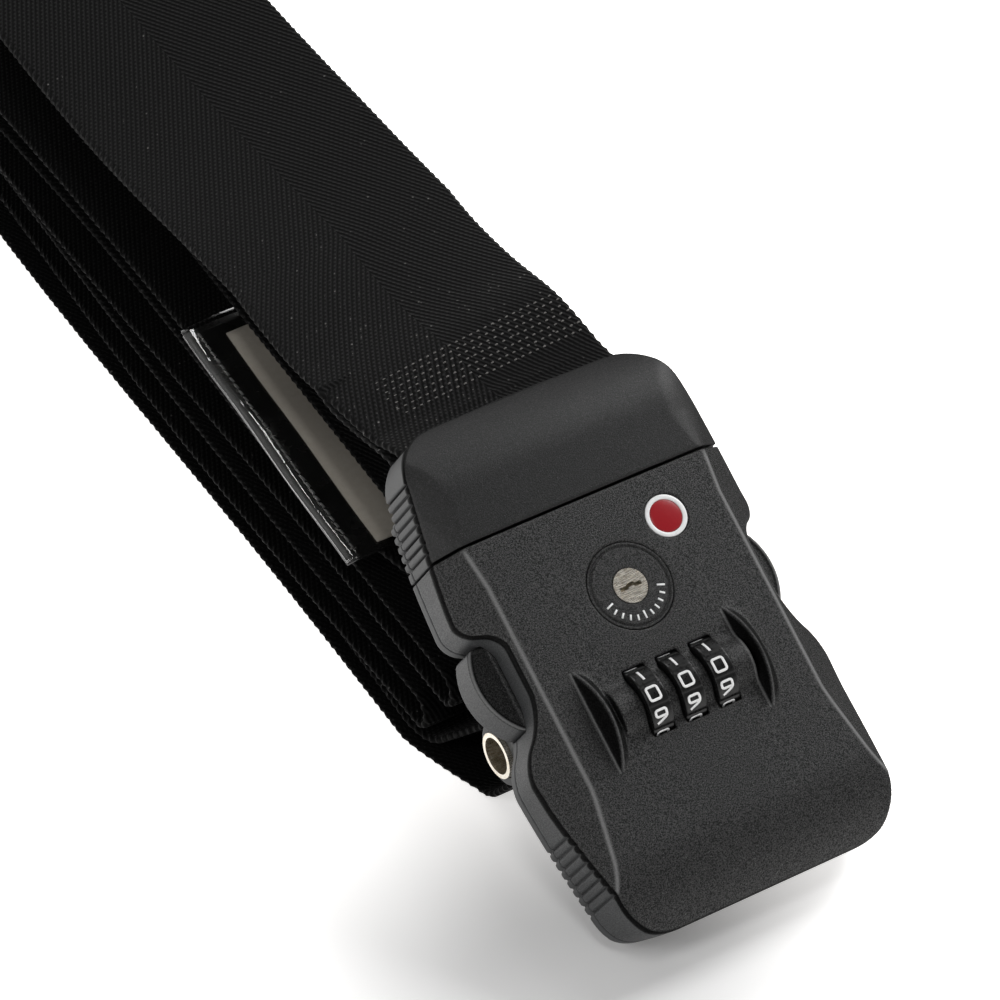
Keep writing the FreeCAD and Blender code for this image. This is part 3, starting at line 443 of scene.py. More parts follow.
def facet(x, y, z):
    """Sloping side facets; the crease runs out toward the corners."""
    tipward = np.maximum(-31 - y, 0)
    crease = 25.7 + 0.19 * tipward**2 / (tipward + 2) + 0.115 * np.maximum(y - 10, 0)
    slope = math.radians(39)
    return (abs(x) - crease) * math.sin(slope) + (z + 0.45) * math.cos(slope)


def cover_form(x, y, z):
    """Crowned face and side facets together."""
    soften = 0.25 + 2.3 * np.clip((y - 17) / 10, 0, 1)
    return round_max(top_face(x, y, z), facet(x, y, z), soften)


def case_form(x, y, z):
    """The closed outer form of receiver and plug together."""
    cover = cover_form(x, y, z)
    grooves = sum(ribs(y, cover, *row) for row in RIBS)
    channel = 0.45 * np.exp(-(((cover + 0.7) / 0.3) ** 2))
    tucked = -61.8 + 0.27 * np.maximum(-6.5 - z, 0) - y
    walls = round_max(outline(x, y), tucked, 3.0) + grooves + channel
    return round_max(round_max(cover, walls, 0.5), -18 - z, 1.2)


DIAL = in_buckle(Vector(JOINTS["dial_1_spin"]["pos_m"]))
WHEELS = [in_buckle(middle(f"dial_wheel_{i}")).x for i in (1, 2, 3)]
FIN_HALF, FIN_TOP = 10.75, 3.5  # half length and height of the guard fins
FINS = (14.3, -19.1)  # where each fin's hollow flank begins
RIBS = ((-50.7, 1.93, 0.55), (21.3, 1.85, 0.7))  # first rib, pitch and depth at tip and plug
WHEEL_R = 7.25


def fin_rise(y):
    """Height of a fin's ridge, a circle's arc."""
    radius = (FIN_HALF**2 + FIN_TOP**2) / (2 * FIN_TOP)
    return np.sqrt(np.maximum(radius**2 - (y - DIAL.y) ** 2, 0)) - (radius - FIN_TOP)


def fin_reach(y):
    """Width of a fin's hollow flank, which runs out to a point at both ends."""
    return 0.2 + 2.0 * np.maximum(fin_rise(y), 0) / FIN_TOP


def guard_fin(x, y, z, foot):
    """A crescent fin: a hollow flank toward -x, then a soft slope back to the face."""
    run = x - foot
    reach = fin_reach(y)
    flank = np.clip(run / reach, 0, 1) ** 1.6
    slope = np.clip((reach + 2.5 - run) / 2.5, 0, 1)
    profile = np.minimum(flank, slope**1.3)
    fin = (z - (fin_rise(y) * profile - 0.35)) * 0.6
    fin = np.maximum(fin, span(y, DIAL.y - FIN_HALF, DIAL.y + FIN_HALF))
    return np.maximum(np.maximum(fin, -4 - z), span(x, foot - 0.1, foot + 5.4))


def receiver_form(x, y, z):
    form = round_max(case_form(x, y, z), y - 18.7, 0.3)
    hump = np.maximum(np.hypot(y - DIAL.y, z - DIAL.z) - 5.9, span(x, -14.6, 14.6))
    form = soft_min(form, hump, 1.0)
    for foot in FINS:
        form = soft_min(form, guard_fin(x, y, z, foot), 0.3)
    return form


def windows(x, y, z):
    return box_field(abs(x), y, z, (18.8, 60), (-15.7, 2.3), (-17.4, -9.4), 0.2)


def receiver_case(x, y, z):
    form = round_max(receiver_form(x, y, z), -14.93 - z, 0.15)
    cavity = box_field(x, y, z, (-23.5, 23.5), (-52.8, 30), (-30, -2.6), 1.0)
    slots = np.minimum.reduce([
        box_field(x, y, z, (c - 2.42, c + 2.42), (DIAL.y - 6.7, DIAL.y + 6.7), (-14, 30), 0.3)
        for c in WHEELS
    ])
    rooms = np.maximum(np.hypot(y - DIAL.y, z - DIAL.z) - 7.45, span(x, -10, 10))
    form = round_max(form, -slots, 0.35)
    form = np.maximum(form, -np.maximum(rooms, z + 2.6))
    posts = box_field(abs(x), y, z, (12.4, 15.6), (DIAL.y - 3.5, DIAL.y + 3.5), (-7.8, -2.0), 0.3)
    form = np.minimum(np.maximum(form, -cavity), posts)
    collar = np.maximum(disc_field(x, y, (0, 0), 8.56), -1.2 - z)
    badge = np.maximum(disc_field(x, y, (13.3, 9.5), 4.3), -1.1 - z)
    tube = disc_field(x, y, (0, 0), 4.95)
    form = round_max(form, -collar, 0.2)
    form = round_max(form, -badge, 0.2)
    form = np.maximum(form, -tube)
    return np.maximum(form, -windows(x, y, z))


def receiver_base(x, y, z):
    """Bottom cover with the two lugs that hold the tube."""
    plate = round_max(receiver_form(x, y, z), z + 15.07, 0.15)
    tube = in_buckle(middle("webbing_roller"))
    eye = np.hypot(y - tube.y, z - tube.z) - 6.4
    arm = np.maximum(span(y, tube.y - 6.4, tube.y + 6.4), span(z, tube.z, -17.5))
    lugs = round_max(np.minimum(eye, arm), span(abs(x), 25.9, 27.9), 0.4)
    form = soft_min(plate, lugs, 0.6)
    form = np.maximum(form, -(np.hypot(y - tube.y, z - tube.z) - 4.7))
    for sx, sy in ((21.2, -50.5), (21.2, 13.5)):
        form = np.maximum(form, -np.maximum(disc_field(abs(x), y, (sx, sy), 2.35), z + 16.6))
        form = np.maximum(form, -disc_field(abs(x), y, (sx, sy), 1.3))
    form = np.maximum(form, -disc_field(x, y, (9.0, -34.0), 2.08))
    return np.maximum(form, -windows(x, y, z))


def plug_case(x, y, z):
    form = round_max(case_form(x, y, z), 19.1 - y, 0.3)
    form = round_max(form, -14.93 - z, 0.15)
    room = box_field(x, y, z, (-20.2, 20.2), (0, 29.4), (-30, -4.1), 0.4)
    rear = box_field(x, y, z, (-25.45, 25.45), (30.8, 60), (-30, -5.3), 0.8)
    return np.maximum(np.maximum(form, -room), -rear)


def plug_base(x, y, z):
    form = round_max(case_form(x, y, z), span(y, 19.1, 30.8), 0.3)
    form = round_max(form, z + 15.07, 0.15)
    for sx in (13.0, -13.0):
        form = np.maximum(form, -np.maximum(disc_field(x, y, (sx, 25.5), 2.35), z + 16.6))
        form = np.maximum(form, -disc_field(x, y, (sx, 25.5), 1.3))
    return form


def button_form(x, y, z):
    """Curved cap with a fine raised rim on top, on the block that slides in the case."""
    plan = round_max(disc_field(x, y, (19.1, -5.0), 14.0), span(y, -15.58, 2.18), 0.8)
    plan = round_max(plan, 21.6 - x, 0.3)
    cap = round_max(plan, span(z, -17.28, -9.52), 0.35)
    tray = np.maximum(plan + 0.75, -9.78 - z)
    cap = np.maximum(cap, -np.maximum(tray, 27.4 - x))
    flange = box_field(x, y, z, (21.6, 23.3), (-17.0, 3.6), (-14.85, -9.52), 0.3)
    finger = box_field(x, y, z, (21.6, 23.3), (-9.7, -3.7), (-17.28, -4.2), 0.3)
    return np.minimum(np.minimum(cap, flange), finger)


def wheel_form(x, y, z, centre):
    """Number wheel with a shallow notch between every two numbers."""
    radius = np.hypot(y - DIAL.y, z - DIAL.z)
    turn = np.arctan2(y - DIAL.y, z - DIAL.z)
    fifth = 2 * math.pi / 10
    offset = (np.mod(turn, fifth) - fifth / 2) * WHEEL_R
    rim = radius - WHEEL_R + 0.14 * np.exp(-((offset / 0.35) ** 2))
    form = round_max(rim, span(x, centre - 2.3, centre + 2.3), 0.35)
    return np.maximum(form, 3.62 - radius)


def collar_form(x, y, z):
    """Disc round the key plug with a fine groove, on the tube that holds the plug."""
    radius = np.hypot(x, y)
    disc = round_max(radius - 8.5, span(z, -1.2, -0.1), 0.18)
    groove = np.hypot(radius - 7.75, (z + 0.05) * 0.8) - 0.26
    disc = np.maximum(disc, -groove)
    tube = np.maximum(radius - 4.9, span(z, -10.8, -1.0))
    return np.maximum(np.minimum(disc, tube), -(radius - 3.5))


# ---- meshes ----


def keep_vectors(mesh, name, values):
    """Stores a vector on every point, for the materials to read."""
    layer = mesh.attributes.new(name, "FLOAT_VECTOR", "POINT")
    layer.data.foreach_set("vector", np.ascontiguousarray(values, np.float32).ravel())


def mesh_object(name, points, faces, material, in_buckle_mm=False, smooth=True):
    """A mesh from numpy arrays; buckle millimetres are placed and kept as 'place'."""
    mesh = bpy.data.meshes.new(name)
    local = np.asarray(points, float)
    if in_buckle_mm:
        matrix = np.array(BUCKLE)
        points = local @ matrix[:3, :3].T + matrix[:3, 3]
    faces = np.ascontiguousarray(faces, np.int32)
    count, corners = faces.shape
    mesh.vertices.add(len(points))
    mesh.vertices.foreach_set("co", np.ascontiguousarray(points, np.float32).ravel())
    mesh.loops.add(count * corners)
    mesh.loops.foreach_set("vertex_index", faces.ravel())
    mesh.polygons.add(count)
    mesh.polygons.foreach_set("loop_start", np.arange(0, count * corners, corners, dtype=np.int32))
    mesh.update(calc_edges=True)
    mesh.validate()
    mesh.polygons.foreach_set("use_smooth", np.full(len(mesh.polygons), smooth))
    mesh.materials.append(material)
    if in_buckle_mm:
        keep_vectors(mesh, "place", local)
    obj = bpy.data.objects.new(name, mesh)
    bpy.context.scene.collection.objects.link(obj)
    return obj


def signed_volume(points, faces):
    a, b, c = points[faces[:, 0]], points[faces[:, 1]], points[faces[:, 2]]
    return float(np.einsum("ij,ij->i", a, np.cross(b, c)).sum())


def keep_marks(mesh, points, cap):
    """Marks for the case material: depth below the cover, painted highlights on the creases, the fins'
    edges and the button caps' rims, and painted shade in the fins' hollow flanks and the grip grooves.
    """
    x, y, z = points.T
    # painted highlight along the crease between the face and each facet
    apart = np.hypot(top_face(x, y, z), facet(x, y, z)) - 0.05
    sharp = np.clip((24 - y) / 6, 0, 1)
    crease = sharp * np.exp(-((np.maximum(apart, 0) / 0.2) ** 2))
    cover = cover_form(x, y, z)
    # painted shade in the finger grooves of the grips
    flank = ribs(y, cover, -50.7, 1.93, 0.55) + ribs(y, cover, 21.3, 1.85, 0.9)
    if cap:
        plan = disc_field(abs(x), y, (19.1, -5.0), 14.0)
        cover = np.where(z > -10.0, 0.0, -3.0)
        # painted highlight round the rim of the button cap
        crease = np.exp(-(((plan + 0.3) / 0.25) ** 2)) * (z > -9.8)
    for foot in FINS:
        run = x - foot
        tall = (fin_rise(y) > 0.25) & (z > -0.8) & (z < 4)
        inside = np.clip(run / 0.3, 0, 1) * np.clip((fin_reach(y) - 0.1 - run) / 0.3, 0, 1)
        # painted shade on each fin's hollow flank
        flank = np.maximum(flank, tall * inside)
        # painted highlights along each fin's foot and along its ridge
        crease = np.maximum(crease, tall * np.exp(-(((run + 0.1) / 0.2) ** 2)) * 0.6)
        ridge = np.exp(-(((run - fin_reach(y) - 0.1) / 0.2) ** 2))
        crease = np.maximum(crease, tall * ridge * 0.35)
    for name, values in (("crease", crease), ("cover", cover), ("flank", flank)):
        layer = mesh.attributes.new(name, "FLOAT", "POINT")
        layer.data.foreach_set("value", np.ascontiguousarray(values, np.float32))


def moulded(name, shape, low, high, material, body, stands_for, step=STEP):
    """Meshes the surface of a signed distance and puts it in the buckle."""
    axes = [np.arange(a, b + step, step, dtype=np.float32) for a, b in zip(low, high)]
    x, y, z = np.meshgrid(*axes, indexing="ij", sparse=True)
    band = 3 * step
    field = np.clip(shape(x, y, z), -band, band).astype(np.float32)
    grid = openvdb.FloatGrid(band)
    grid.copyFromArray(np.ascontiguousarray(field))
    points, quads = grid.convertToQuads(0.0)
    points = points * step + np.array(low)
    if signed_volume(points, quads) < 0:
        quads = quads[:, ::-1]
    obj = mesh_object(name, points, quads, material, True)
    keep_marks(obj.data, points, material is CAP)
    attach(obj, body)
    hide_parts(*stands_for)


def build_buckle():
    low, high = (-34.5, -62.8, -19.2), (34.5, 20, 4.4)
    moulded("receiver_case", receiver_case, low, high, GRAIN, "receiver",
            ("receiver_top_shell", "receiver_grip_right", "receiver_grip_left"))
    moulded("receiver_base", receiver_base, (-34.5, -62.8, -32.4), (34.5, 20, -14), BASE, "receiver",
            ("receiver_bottom_cover",))
    moulded("plug_case", plug_case, (-34.5, 18, -19.2), (34.5, 44.4, 1.6), PLUG_GRAIN, "plug",
            ("plug_top_shell", "plug_grip_right", "plug_grip_left"))
    moulded("plug_base", plug_base, (-34.5, 18, -19.2), (34.5, 32, -14), BASE, "plug",
            ("plug_bottom_cover",))
    moulded("button_cap_right", button_form, (20.8, -18, -18.2), (34, 4.6, -3.4), CAP, "button_right",
            ("release_button_right",), STEP * 0.8)
    moulded("button_cap_left", lambda x, y, z: button_form(-x, y, z), (-34, -18, -18.2),
            (-20.8, 4.6, -3.4), CAP, "button_left", ("release_button_left",), STEP * 0.8)
    for i, centre in enumerate(WHEELS, start=1):
        moulded(f"wheel_{i}", lambda x, y, z: wheel_form(x, y, z, centre),
                (centre - 3, DIAL.y - 8, DIAL.z - 8), (centre + 3, DIAL.y + 8, DIAL.z + 8), GLOSS,
                f"dial_{i}", (f"dial_wheel_{i}",), 0.15)
    moulded("key_collar", collar_form, (-9, -9, -11.5), (9, 9, 0.6), COLLAR, "receiver",
            ("key_housing",), 0.14)


# ---- numbers, marks and badge ----

PAINT = 0.00003  # thickness of the painted marks, metres
PAINT_R = 7.28  # radius of the painted numbers, just proud of the wheels
# Strokes of generic rounded numbers on a grid one wide and two high.
# pen strokes of each number in a cell 1 wide and 2 high
STROKES = {
    0: [[(0, 0), (1, 0), (1, 2), (0, 2), (0, 0)]],
    1: [[(0.5, 0), (0.5, 2)]],
    2: [[(0, 2), (1, 2), (1, 1), (0, 1), (0, 0), (1, 0)]],
    3: [[(0, 2), (1, 2), (1, 0), (0, 0)], [(0.2, 1), (1, 1)]],
    4: [[(0, 2), (0, 1), (1, 1)], [(1, 2), (1, 0)]],
    5: [[(1, 2), (0, 2), (0, 1), (1, 1), (1, 0), (0, 0)]],
    6: [[(1, 2), (0, 1.2), (0, 0), (1, 0), (1, 1), (0, 1)]],
    7: [[(0, 2), (1, 2), (0.4, 0)]],
    8: [[(0, 0), (1, 0), (1, 2), (0, 2), (0, 0)], [(0, 1), (1, 1)]],
    9: [[(0, 0), (1, 0.8), (1, 2), (0, 2), (0, 1), (1, 1)]],
}


def rounded_path(corners, r, closed):
    """A polyline with its corners replaced by short arcs."""
    points = []
    count = len(corners)
    for i, corner in enumerate(corners):
        if not closed and i in (0, count - 1):
            points.append(corner)
            continue
        before, after = corners[i - 1], corners[(i + 1) % count]
        back = (before - corner) / np.linalg.norm(before - corner)
        ahead = (after - corner) / np.linalg.norm(after - corner)
        for t in np.linspace(0, 1, 5):
            points.append(corner + back * r * (1 - t) ** 2 + ahead * r * t**2)
    return np.array(points)


def resampled(path, spacing, closed):
    """Even points along a path, so that strokes can bend round a wheel."""
    if closed:
        path = np.concatenate([path, path[:1]])
    gone = np.concatenate([[0], np.cumsum(np.linalg.norm(np.diff(path, axis=0), axis=1))])
    at = np.linspace(0, gone[-1], max(3, int(gone[-1] / spacing)))
    even = np.stack([np.interp(at, gone, path[:, 0]), np.interp(at, gone, path[:, 1])], 1)
    return even[:-1] if closed else even


def stroke_mesh(path, width, closed):
    """Left and right edge points of a stroke, as a strip of quads."""
    if closed:
        tangent = np.roll(path, -1, 0) - np.roll(path, 1, 0)
    else:
        tangent = np.gradient(path, axis=0)
    tangent /= np.linalg.norm(tangent, axis=1, keepdims=True)
    side = np.stack([-tangent[:, 1], tangent[:, 0]], 1) * width / 2
    points = np.concatenate([path + side, path - side])
    count = len(path)
    index = np.arange(count if closed else count - 1)
    after = (index + 1) % count
    return points, np.stack([index, index + count, after + count, after], 1)


def number_strokes(digit, size, height):
    """All strokes of one number, centred, as (points, quads) pairs."""
    pieces = []
    for corners in STROKES[digit]:
        corners = np.array(corners, float)
        closed = bool((corners[0] == corners[-1]).all())
        if closed:
            corners = corners[:-1]
        placed = (corners - (0.5, 1.0)) * (size, height / 2)
        path = resampled(rounded_path(placed, 0.5, closed), 0.2, closed)
        pieces.append(stroke_mesh(path, 0.5, closed))
    return pieces


def build_numbers():
    """Painted numbers, wrapped round each wheel."""
    for i, centre in enumerate(WHEELS, start=1):
        points, quads, total = [], [], 0
        for digit in range(10):
            for flat, faces in number_strokes(digit, 2.3, 2.6):
                turn = math.radians(36 * digit + 2) + flat[:, 1] / 7.3
                ring_y = DIAL.y + PAINT_R * np.sin(turn)
                ring_z = DIAL.z + PAINT_R * np.cos(turn)
                points.append(np.stack([centre - 0.3 + flat[:, 0], ring_y, ring_z], 1))
                quads.append(faces + total)
                total += len(flat)
        obj = mesh_object(
            f"wheel_{i}_numbers", np.concatenate(points), np.concatenate(quads), WHITE, True
        )
        solidify(obj, PAINT)
        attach(obj, f"dial_{i}")


def solidify(obj, thickness):
    thick = obj.modifiers.new("thickness", "SOLIDIFY")
    thick.thickness = thickness
    thick.offset = 0


def build_collar_marks():
    """Generic index marks on the lower half of the collar, in place of lettering."""
    points, quads = [], []
    for i, angle in enumerate(np.radians(np.arange(200, 341, 14))):
        inner_r = 5.2 if i % 5 == 0 else 5.7
        ray = np.array((math.cos(angle), math.sin(angle)))
        path = np.array([ray * inner_r, ray * 6.8])
        flat, faces = stroke_mesh(path, 0.36, False)
        points.append(np.concatenate([flat, np.full((len(flat), 1), -0.08)], 1))
        quads.append(faces + 4 * i)
    obj = mesh_object("collar_marks", np.concatenate(points), np.concatenate(quads), WHITE, True)
    solidify(obj, PAINT)
    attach(obj, "receiver")


def turned(name, profile, centre, material, body, stands_for=()):
    """A turned piece: (radius, height) points spun round an axis out of the face."""
    segments = 72
    angles = np.linspace(0, 2 * math.pi, segments, endpoint=False)
    circle = np.stack([np.cos(angles), np.sin(angles)], 1)
    rings = [np.column_stack([centre + r * circle, np.full(segments, h)]) for r, h in profile]
    index = np.arange(segments)
    after = (index + 1) % segments
    quads = []
    for k in range(len(profile) - 1):
        here, above = k * segments, (k + 1) * segments
        quads.append(np.stack([index + here, after + here, after + above, index + above], 1))
    obj = mesh_object(name, np.concatenate(rings), np.concatenate(quads), material, True)
    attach(obj, body)
    if stands_for:
        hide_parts(*stands_for)


def build_badge():
    """Plain round inlay: white rim round a slightly domed red field."""
    at = in_buckle(middle("badge_inlay"))
    centre = (at.x, at.y)
    rim = [(3.2, -1.05), (4.2, -1.05), (4.2, -0.32), (4.1, -0.2), (3.4, -0.2), (3.3, -0.3),
           (3.2, -1.05)]
    dome = [(3.26, -0.6), (3.26, -0.42), (2.9, -0.34), (2.0, -0.24), (1.0, -0.18), (0.001, -0.16)]
    turned("badge_rim", rim, centre, WHITE, "receiver", ("badge_inlay",))
    turned("badge_field", dome, centre, RED, "receiver")


# ---- webbing ----

THICK = 1.4  # drawn thickness of the webbing, millimetres
HALF = 25  # half its width
LAYER = 6.8  # height of one folded layer
CROWN = 0.35  # how much the top layer bulges in its middle
BACK = FACE.y * 1000  # the key plug in the common frame, millimetres
BAR = middle("webbing_bar") * 1000
TUBE = middle("webbing_roller") * 1000


def walk(start, heading, moves, step):
    """Points along straight runs and bends in the (y, z) plane, with heading and length."""
    y, z, angle = start[0], start[1], math.radians(heading)
    rows = [(y, z, angle)]
    for move in moves:
        if move[0] == "run":
            length, turn = move[1], 0.0
        else:
            turn = math.radians(move[2])
            length = abs(turn) * move[1]
        count = max(2, int(math.ceil(length / step)))
        if turn:
            count = max(count, int(abs(move[2]) / 8))
        for k in range(count):
            half = turn / count / 2
            chord = length / count * (math.sin(half) / half if turn else 1)
            y += chord * math.cos(angle + half)
            z += chord * math.sin(angle + half)
            angle += turn / count
            rows.append((y, z, angle))
    return np.array(rows)


def sewn_moves():
    """Start and moves of the end sewn round the plug's bar."""
    lean = math.radians(9)
    wrap = 2.0 + THICK / 2 + 0.1
    apart = THICK / 2 + 0.02
    arm = (wrap * math.cos(lean) - 10 * (1 - math.cos(lean)) - apart) / math.sin(lean)
    start_y = BAR.y + wrap * math.sin(lean) + arm * math.cos(lean) + 10 * math.sin(lean) + 20
    moves = [("run", 20), ("bend", 10, 9), ("run", arm), ("bend", wrap, -198), ("run", arm),
             ("bend", 10, 9)]
    return (start_y, BAR.z - apart), moves


def smooth_curve(at, keys):
    """A smooth value through (position, value) keys."""
    xs = np.array([k[0] for k in keys], float)
    ys = np.array([k[1] for k in keys], float)
    slopes = np.gradient(ys, xs)
    i = np.clip(np.searchsorted(xs, at) - 1, 0, len(xs) - 2)
    width = xs[i + 1] - xs[i]
    t = np.clip((at - xs[i]) / width, 0, 1)
    return (
        (2 * t**3 - 3 * t**2 + 1) * ys[i]
        + (t**3 - 2 * t**2 + t) * width * slopes[i]
        + (-2 * t**3 + 3 * t**2) * ys[i + 1]
        + (t**3 - t**2) * width * slopes[i + 1]
    )


def strap_path(step):
    """The whole strap: sewn end, top layer, seven flat layers and the end at the tube."""
    start, moves = sewn_moves()
    rows = walk(start, 180, moves, step)
    sewn_count = len(rows)
    far = BACK + 288 - LAYER / 2
    top_z = THICK / 2 + 7 * LAYER - 0.4
    # the top layer sinks from the plug toward the folded layers
    ys = np.arange(rows[-1][0] + step, far, step)
    first = rows[-1]
    keys = [(first[0] - 1, first[1]), (BACK + 62, first[1] + 0.1), (BACK + 80, 59.7),
            (BACK + 110, 56.2), (BACK + 140, 52.8), (BACK + 170, 49.8), (BACK + 212, 48.0),
            (far, top_z)]
    zs = smooth_curve(ys, keys)
    top = np.stack([ys, zs, np.arctan2(np.gradient(zs), np.gradient(ys))], 1)
    folds = {7: 26.5, 5: 15.5, 3: 26.0}
    seventh = THICK / 2 + 6 * LAYER
    moves = [("bend", (zs[-1] - seventh) / 2, -180)]
    y = ys[-1]
    for layer in range(7, 0, -1):
        stop = BACK + folds.get(layer, 0) + LAYER / 2 if layer % 2 else far
        if layer == 1:
            stop = BACK + 26
        moves.append(("run", abs(stop - y)))
        y = stop
        if layer > 1:
            moves.append(("bend", LAYER / 2, 180 if layer % 2 else -180))
    folded = walk((ys[-1], zs[-1]), 0, moves, step)
    tail = walk((folded[-1][0], folded[-1][1]), 180, tube_moves(folded[-1][0]), step)
    rows = np.concatenate([rows, top, folded[1:], tail[1:]])
    return rows, sewn_count, sewn_count + len(top), len(rows) - len(tail)


def tube_moves(start_y):
    """From the table up round the tube and back between two layers."""
    wrap = 4.6 + THICK / 2 + 0.25
    rise, fall, bend, tail_z = math.radians(50), math.radians(44), 9.0, 3.6
    touch = (TUBE.y - wrap * math.sin(rise), TUBE.z - wrap * math.cos(rise))
    climb = (touch[1] - THICK / 2 - bend * (1 - math.cos(rise))) / math.sin(rise)
    bend_y = touch[0] + climb * math.cos(rise) + bend * math.sin(rise)
    off_z = TUBE.z + wrap * math.cos(fall)
    drop = (off_z - tail_z - bend * (1 - math.cos(fall))) / math.sin(fall)
    return [("run", start_y - bend_y), ("bend", bend, -50), ("run", climb), ("bend", wrap, -174),
            ("run", drop), ("bend", bend, 44), ("run", 95)]


def strap_section():
    """The webbing's cut section as (across, through) points, edges rounded."""
    across = np.concatenate([[-24.85, -24.3], np.linspace(-23.4, 23.4, 22), [24.3, 24.85]])
    top = [(u, THICK / 2 * (1 - 0.35 * (abs(u) > 24.6))) for u in across]
    bottom = [(u, -t) for u, t in reversed(top)]
    return np.array(top + [(HALF, 0)] + bottom + [(-HALF, 0)])


def build_webbing():
    """One continuous strap, twisted and skewed as it lies, with a scalloped selvedge."""
    step = 0.8
    rows, sewn_end, top_end, join = strap_path(step)
    y, z, angle = rows.T
    moved = np.hypot(np.diff(y, prepend=y[0]), np.diff(z, prepend=z[0]))
    s = np.cumsum(moved)
    order = np.arange(len(rows))
    ky = y - BACK
    on_top = ((order < top_end) & ((order >= sewn_end) | (ky > 46))).astype(float)
    yaw = math.tan(math.radians(4.2))
    turned_in = np.clip((s - s[sewn_end]) / 60, 0, 1)
    fold = top_end + int(np.argmax(ky[top_end:] < 28.5))
    below = np.clip((s - s[fold]) / 50, 0, 1)
    seventh = np.clip((s - s[top_end]) / 60, 0, 1) * (1 - below)
    shift_top = 0.093 * np.maximum(ky - 48, 0) * turned_in
    shift_top += 4.5 * seventh * np.clip((250 - ky) / 100, 0, 1)
    shift_low = yaw * (ky - 76)
    shift = shift_top * (1 - below) + shift_low * below
    # where it climbs to the tube it lies square to the buckle again
    at_tube = np.clip((34 - ky) / 20, 0, 1) * np.clip((s - s[join] + 40) / 40, 0, 1)
    drift = 1.3 * np.sin(s / 71.0) + 0.9 * np.sin(s / 37.0 + 1.0)
    shift = (shift + drift * below) * (1 - at_tube)
    twist_keys = [(44, 1.0), (62, 2.8), (80, 2.7), (100, 2.0), (125, 2.4), (150, 3.4), (185, 4.0),
                  (230, 3.0), (285, 0.4)]
    twist = smooth_curve(ky, twist_keys)
    twist = np.where(ky < 44, 1.0, twist) * on_top
    window = np.hanning(25)
    twist = np.convolve(twist, window / window.sum(), "same")
    section = strap_section()
    scallop = 0.16 * np.sin(s * 2 * math.pi / 2.3)
    u = section[:, 0][None, :]
    t = section[:, 1][None, :]
    edge = (abs(u) > 24).astype(float) * np.sign(u)
    wide = u + edge * scallop[:, None]
    crown = CROWN * (1 - (u / HALF) ** 2) * on_top[:, None]
    px = wide + shift[:, None]
    py = y[:, None] - t * np.sin(angle)[:, None]
    lifted = z + 1.2 * seventh
    pz = lifted[:, None] + (t + crown) * np.cos(angle)[:, None] + twist[:, None] * u / HALF
    points = np.stack([px, py, pz], 2) / 1000
    count, around = len(rows), len(section)
    a = np.arange(count - 1)[:, None] * around + np.arange(around)[None, :]
    b = np.arange(count - 1)[:, None] * around + (np.arange(around)[None, :] + 1) % around
    quads = np.stack([a, b, b + around, a + around], 2).reshape(-1, 4)
    flat = points.reshape(-1, 3)
    if signed_volume(flat, quads) < 0:
        quads = quads[:, ::-1]
    obj = mesh_object("folded_webbing", flat, quads, WEBBING)
    # painted shade for the folded layers below the top one, kept as the strap's third coordinate
    shade = 1 - 0.6 * np.clip((s - s[top_end]) / 40, 0, 1)
    values = np.stack([np.broadcast_to(v, px.shape) for v in (u, s[:, None], shade[:, None])], 2)
    keep_vectors(obj.data, "strap", values)
    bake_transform(obj)
    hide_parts("webbing_plug_end", "webbing_bundle", "webbing_roller_end")
    top = slice(sewn_end, top_end)
    return ky[top], z[top], shift[top], twist[top]


def add_stitch(points, quads, stations):
    """One stitch: a little tent through stations of three points each."""
    base = len(points)
    for station in stations:
        points.extend(station)
    for a in range(base, base + 3 * len(stations) - 3, 3):
        quads += [(a, a + 3, a + 4, a + 1), (a + 1, a + 4, a + 5, a + 2), (a + 2, a + 5, a + 3, a)]


def build_stitches(ks, kz, kx, kt):
    """Rows of bright tacking stitches across the sewn end."""
    shape = [(-0.34, 0.0), (-0.2, 0.2), (0.0, 0.28), (0.2, 0.2), (0.34, 0.0)]
    points, quads = [], []
    for row in range(7):
        at = 52.0 + 1.85 * row
        for k in range(30):
            u = -23.8 + 1.62 * k + 0.8 * (row % 2)
            if not -17 < u < 24:
                continue
            proud = min(1, (u + 20) / 14)
            z0 = np.interp(at, ks, kz) + THICK / 2 + CROWN * (1 - (u / HALF) ** 2)
            z0 += np.interp(at, ks, kt) * u / HALF
            x0 = u + np.interp(at, ks, kx)
            add_stitch(points, quads, [
                [(x0 + dx, BACK + at - 0.22, z0 - 0.1),
                 (x0 + dx, BACK + at, z0 + rise * proud),
                 (x0 + dx, BACK + at + 0.22, z0 - 0.1)]
                for dx, rise in shape
            ])
    obj = mesh_object("tacking_stitches", np.array(points) / 1000, np.array(quads), TACKING)
    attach(obj, "plug")
    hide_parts("end_stitches")


# ---- luggage label ----


LABEL_SKEW = math.tan(math.radians(7.2))  # how the label lies across the layers


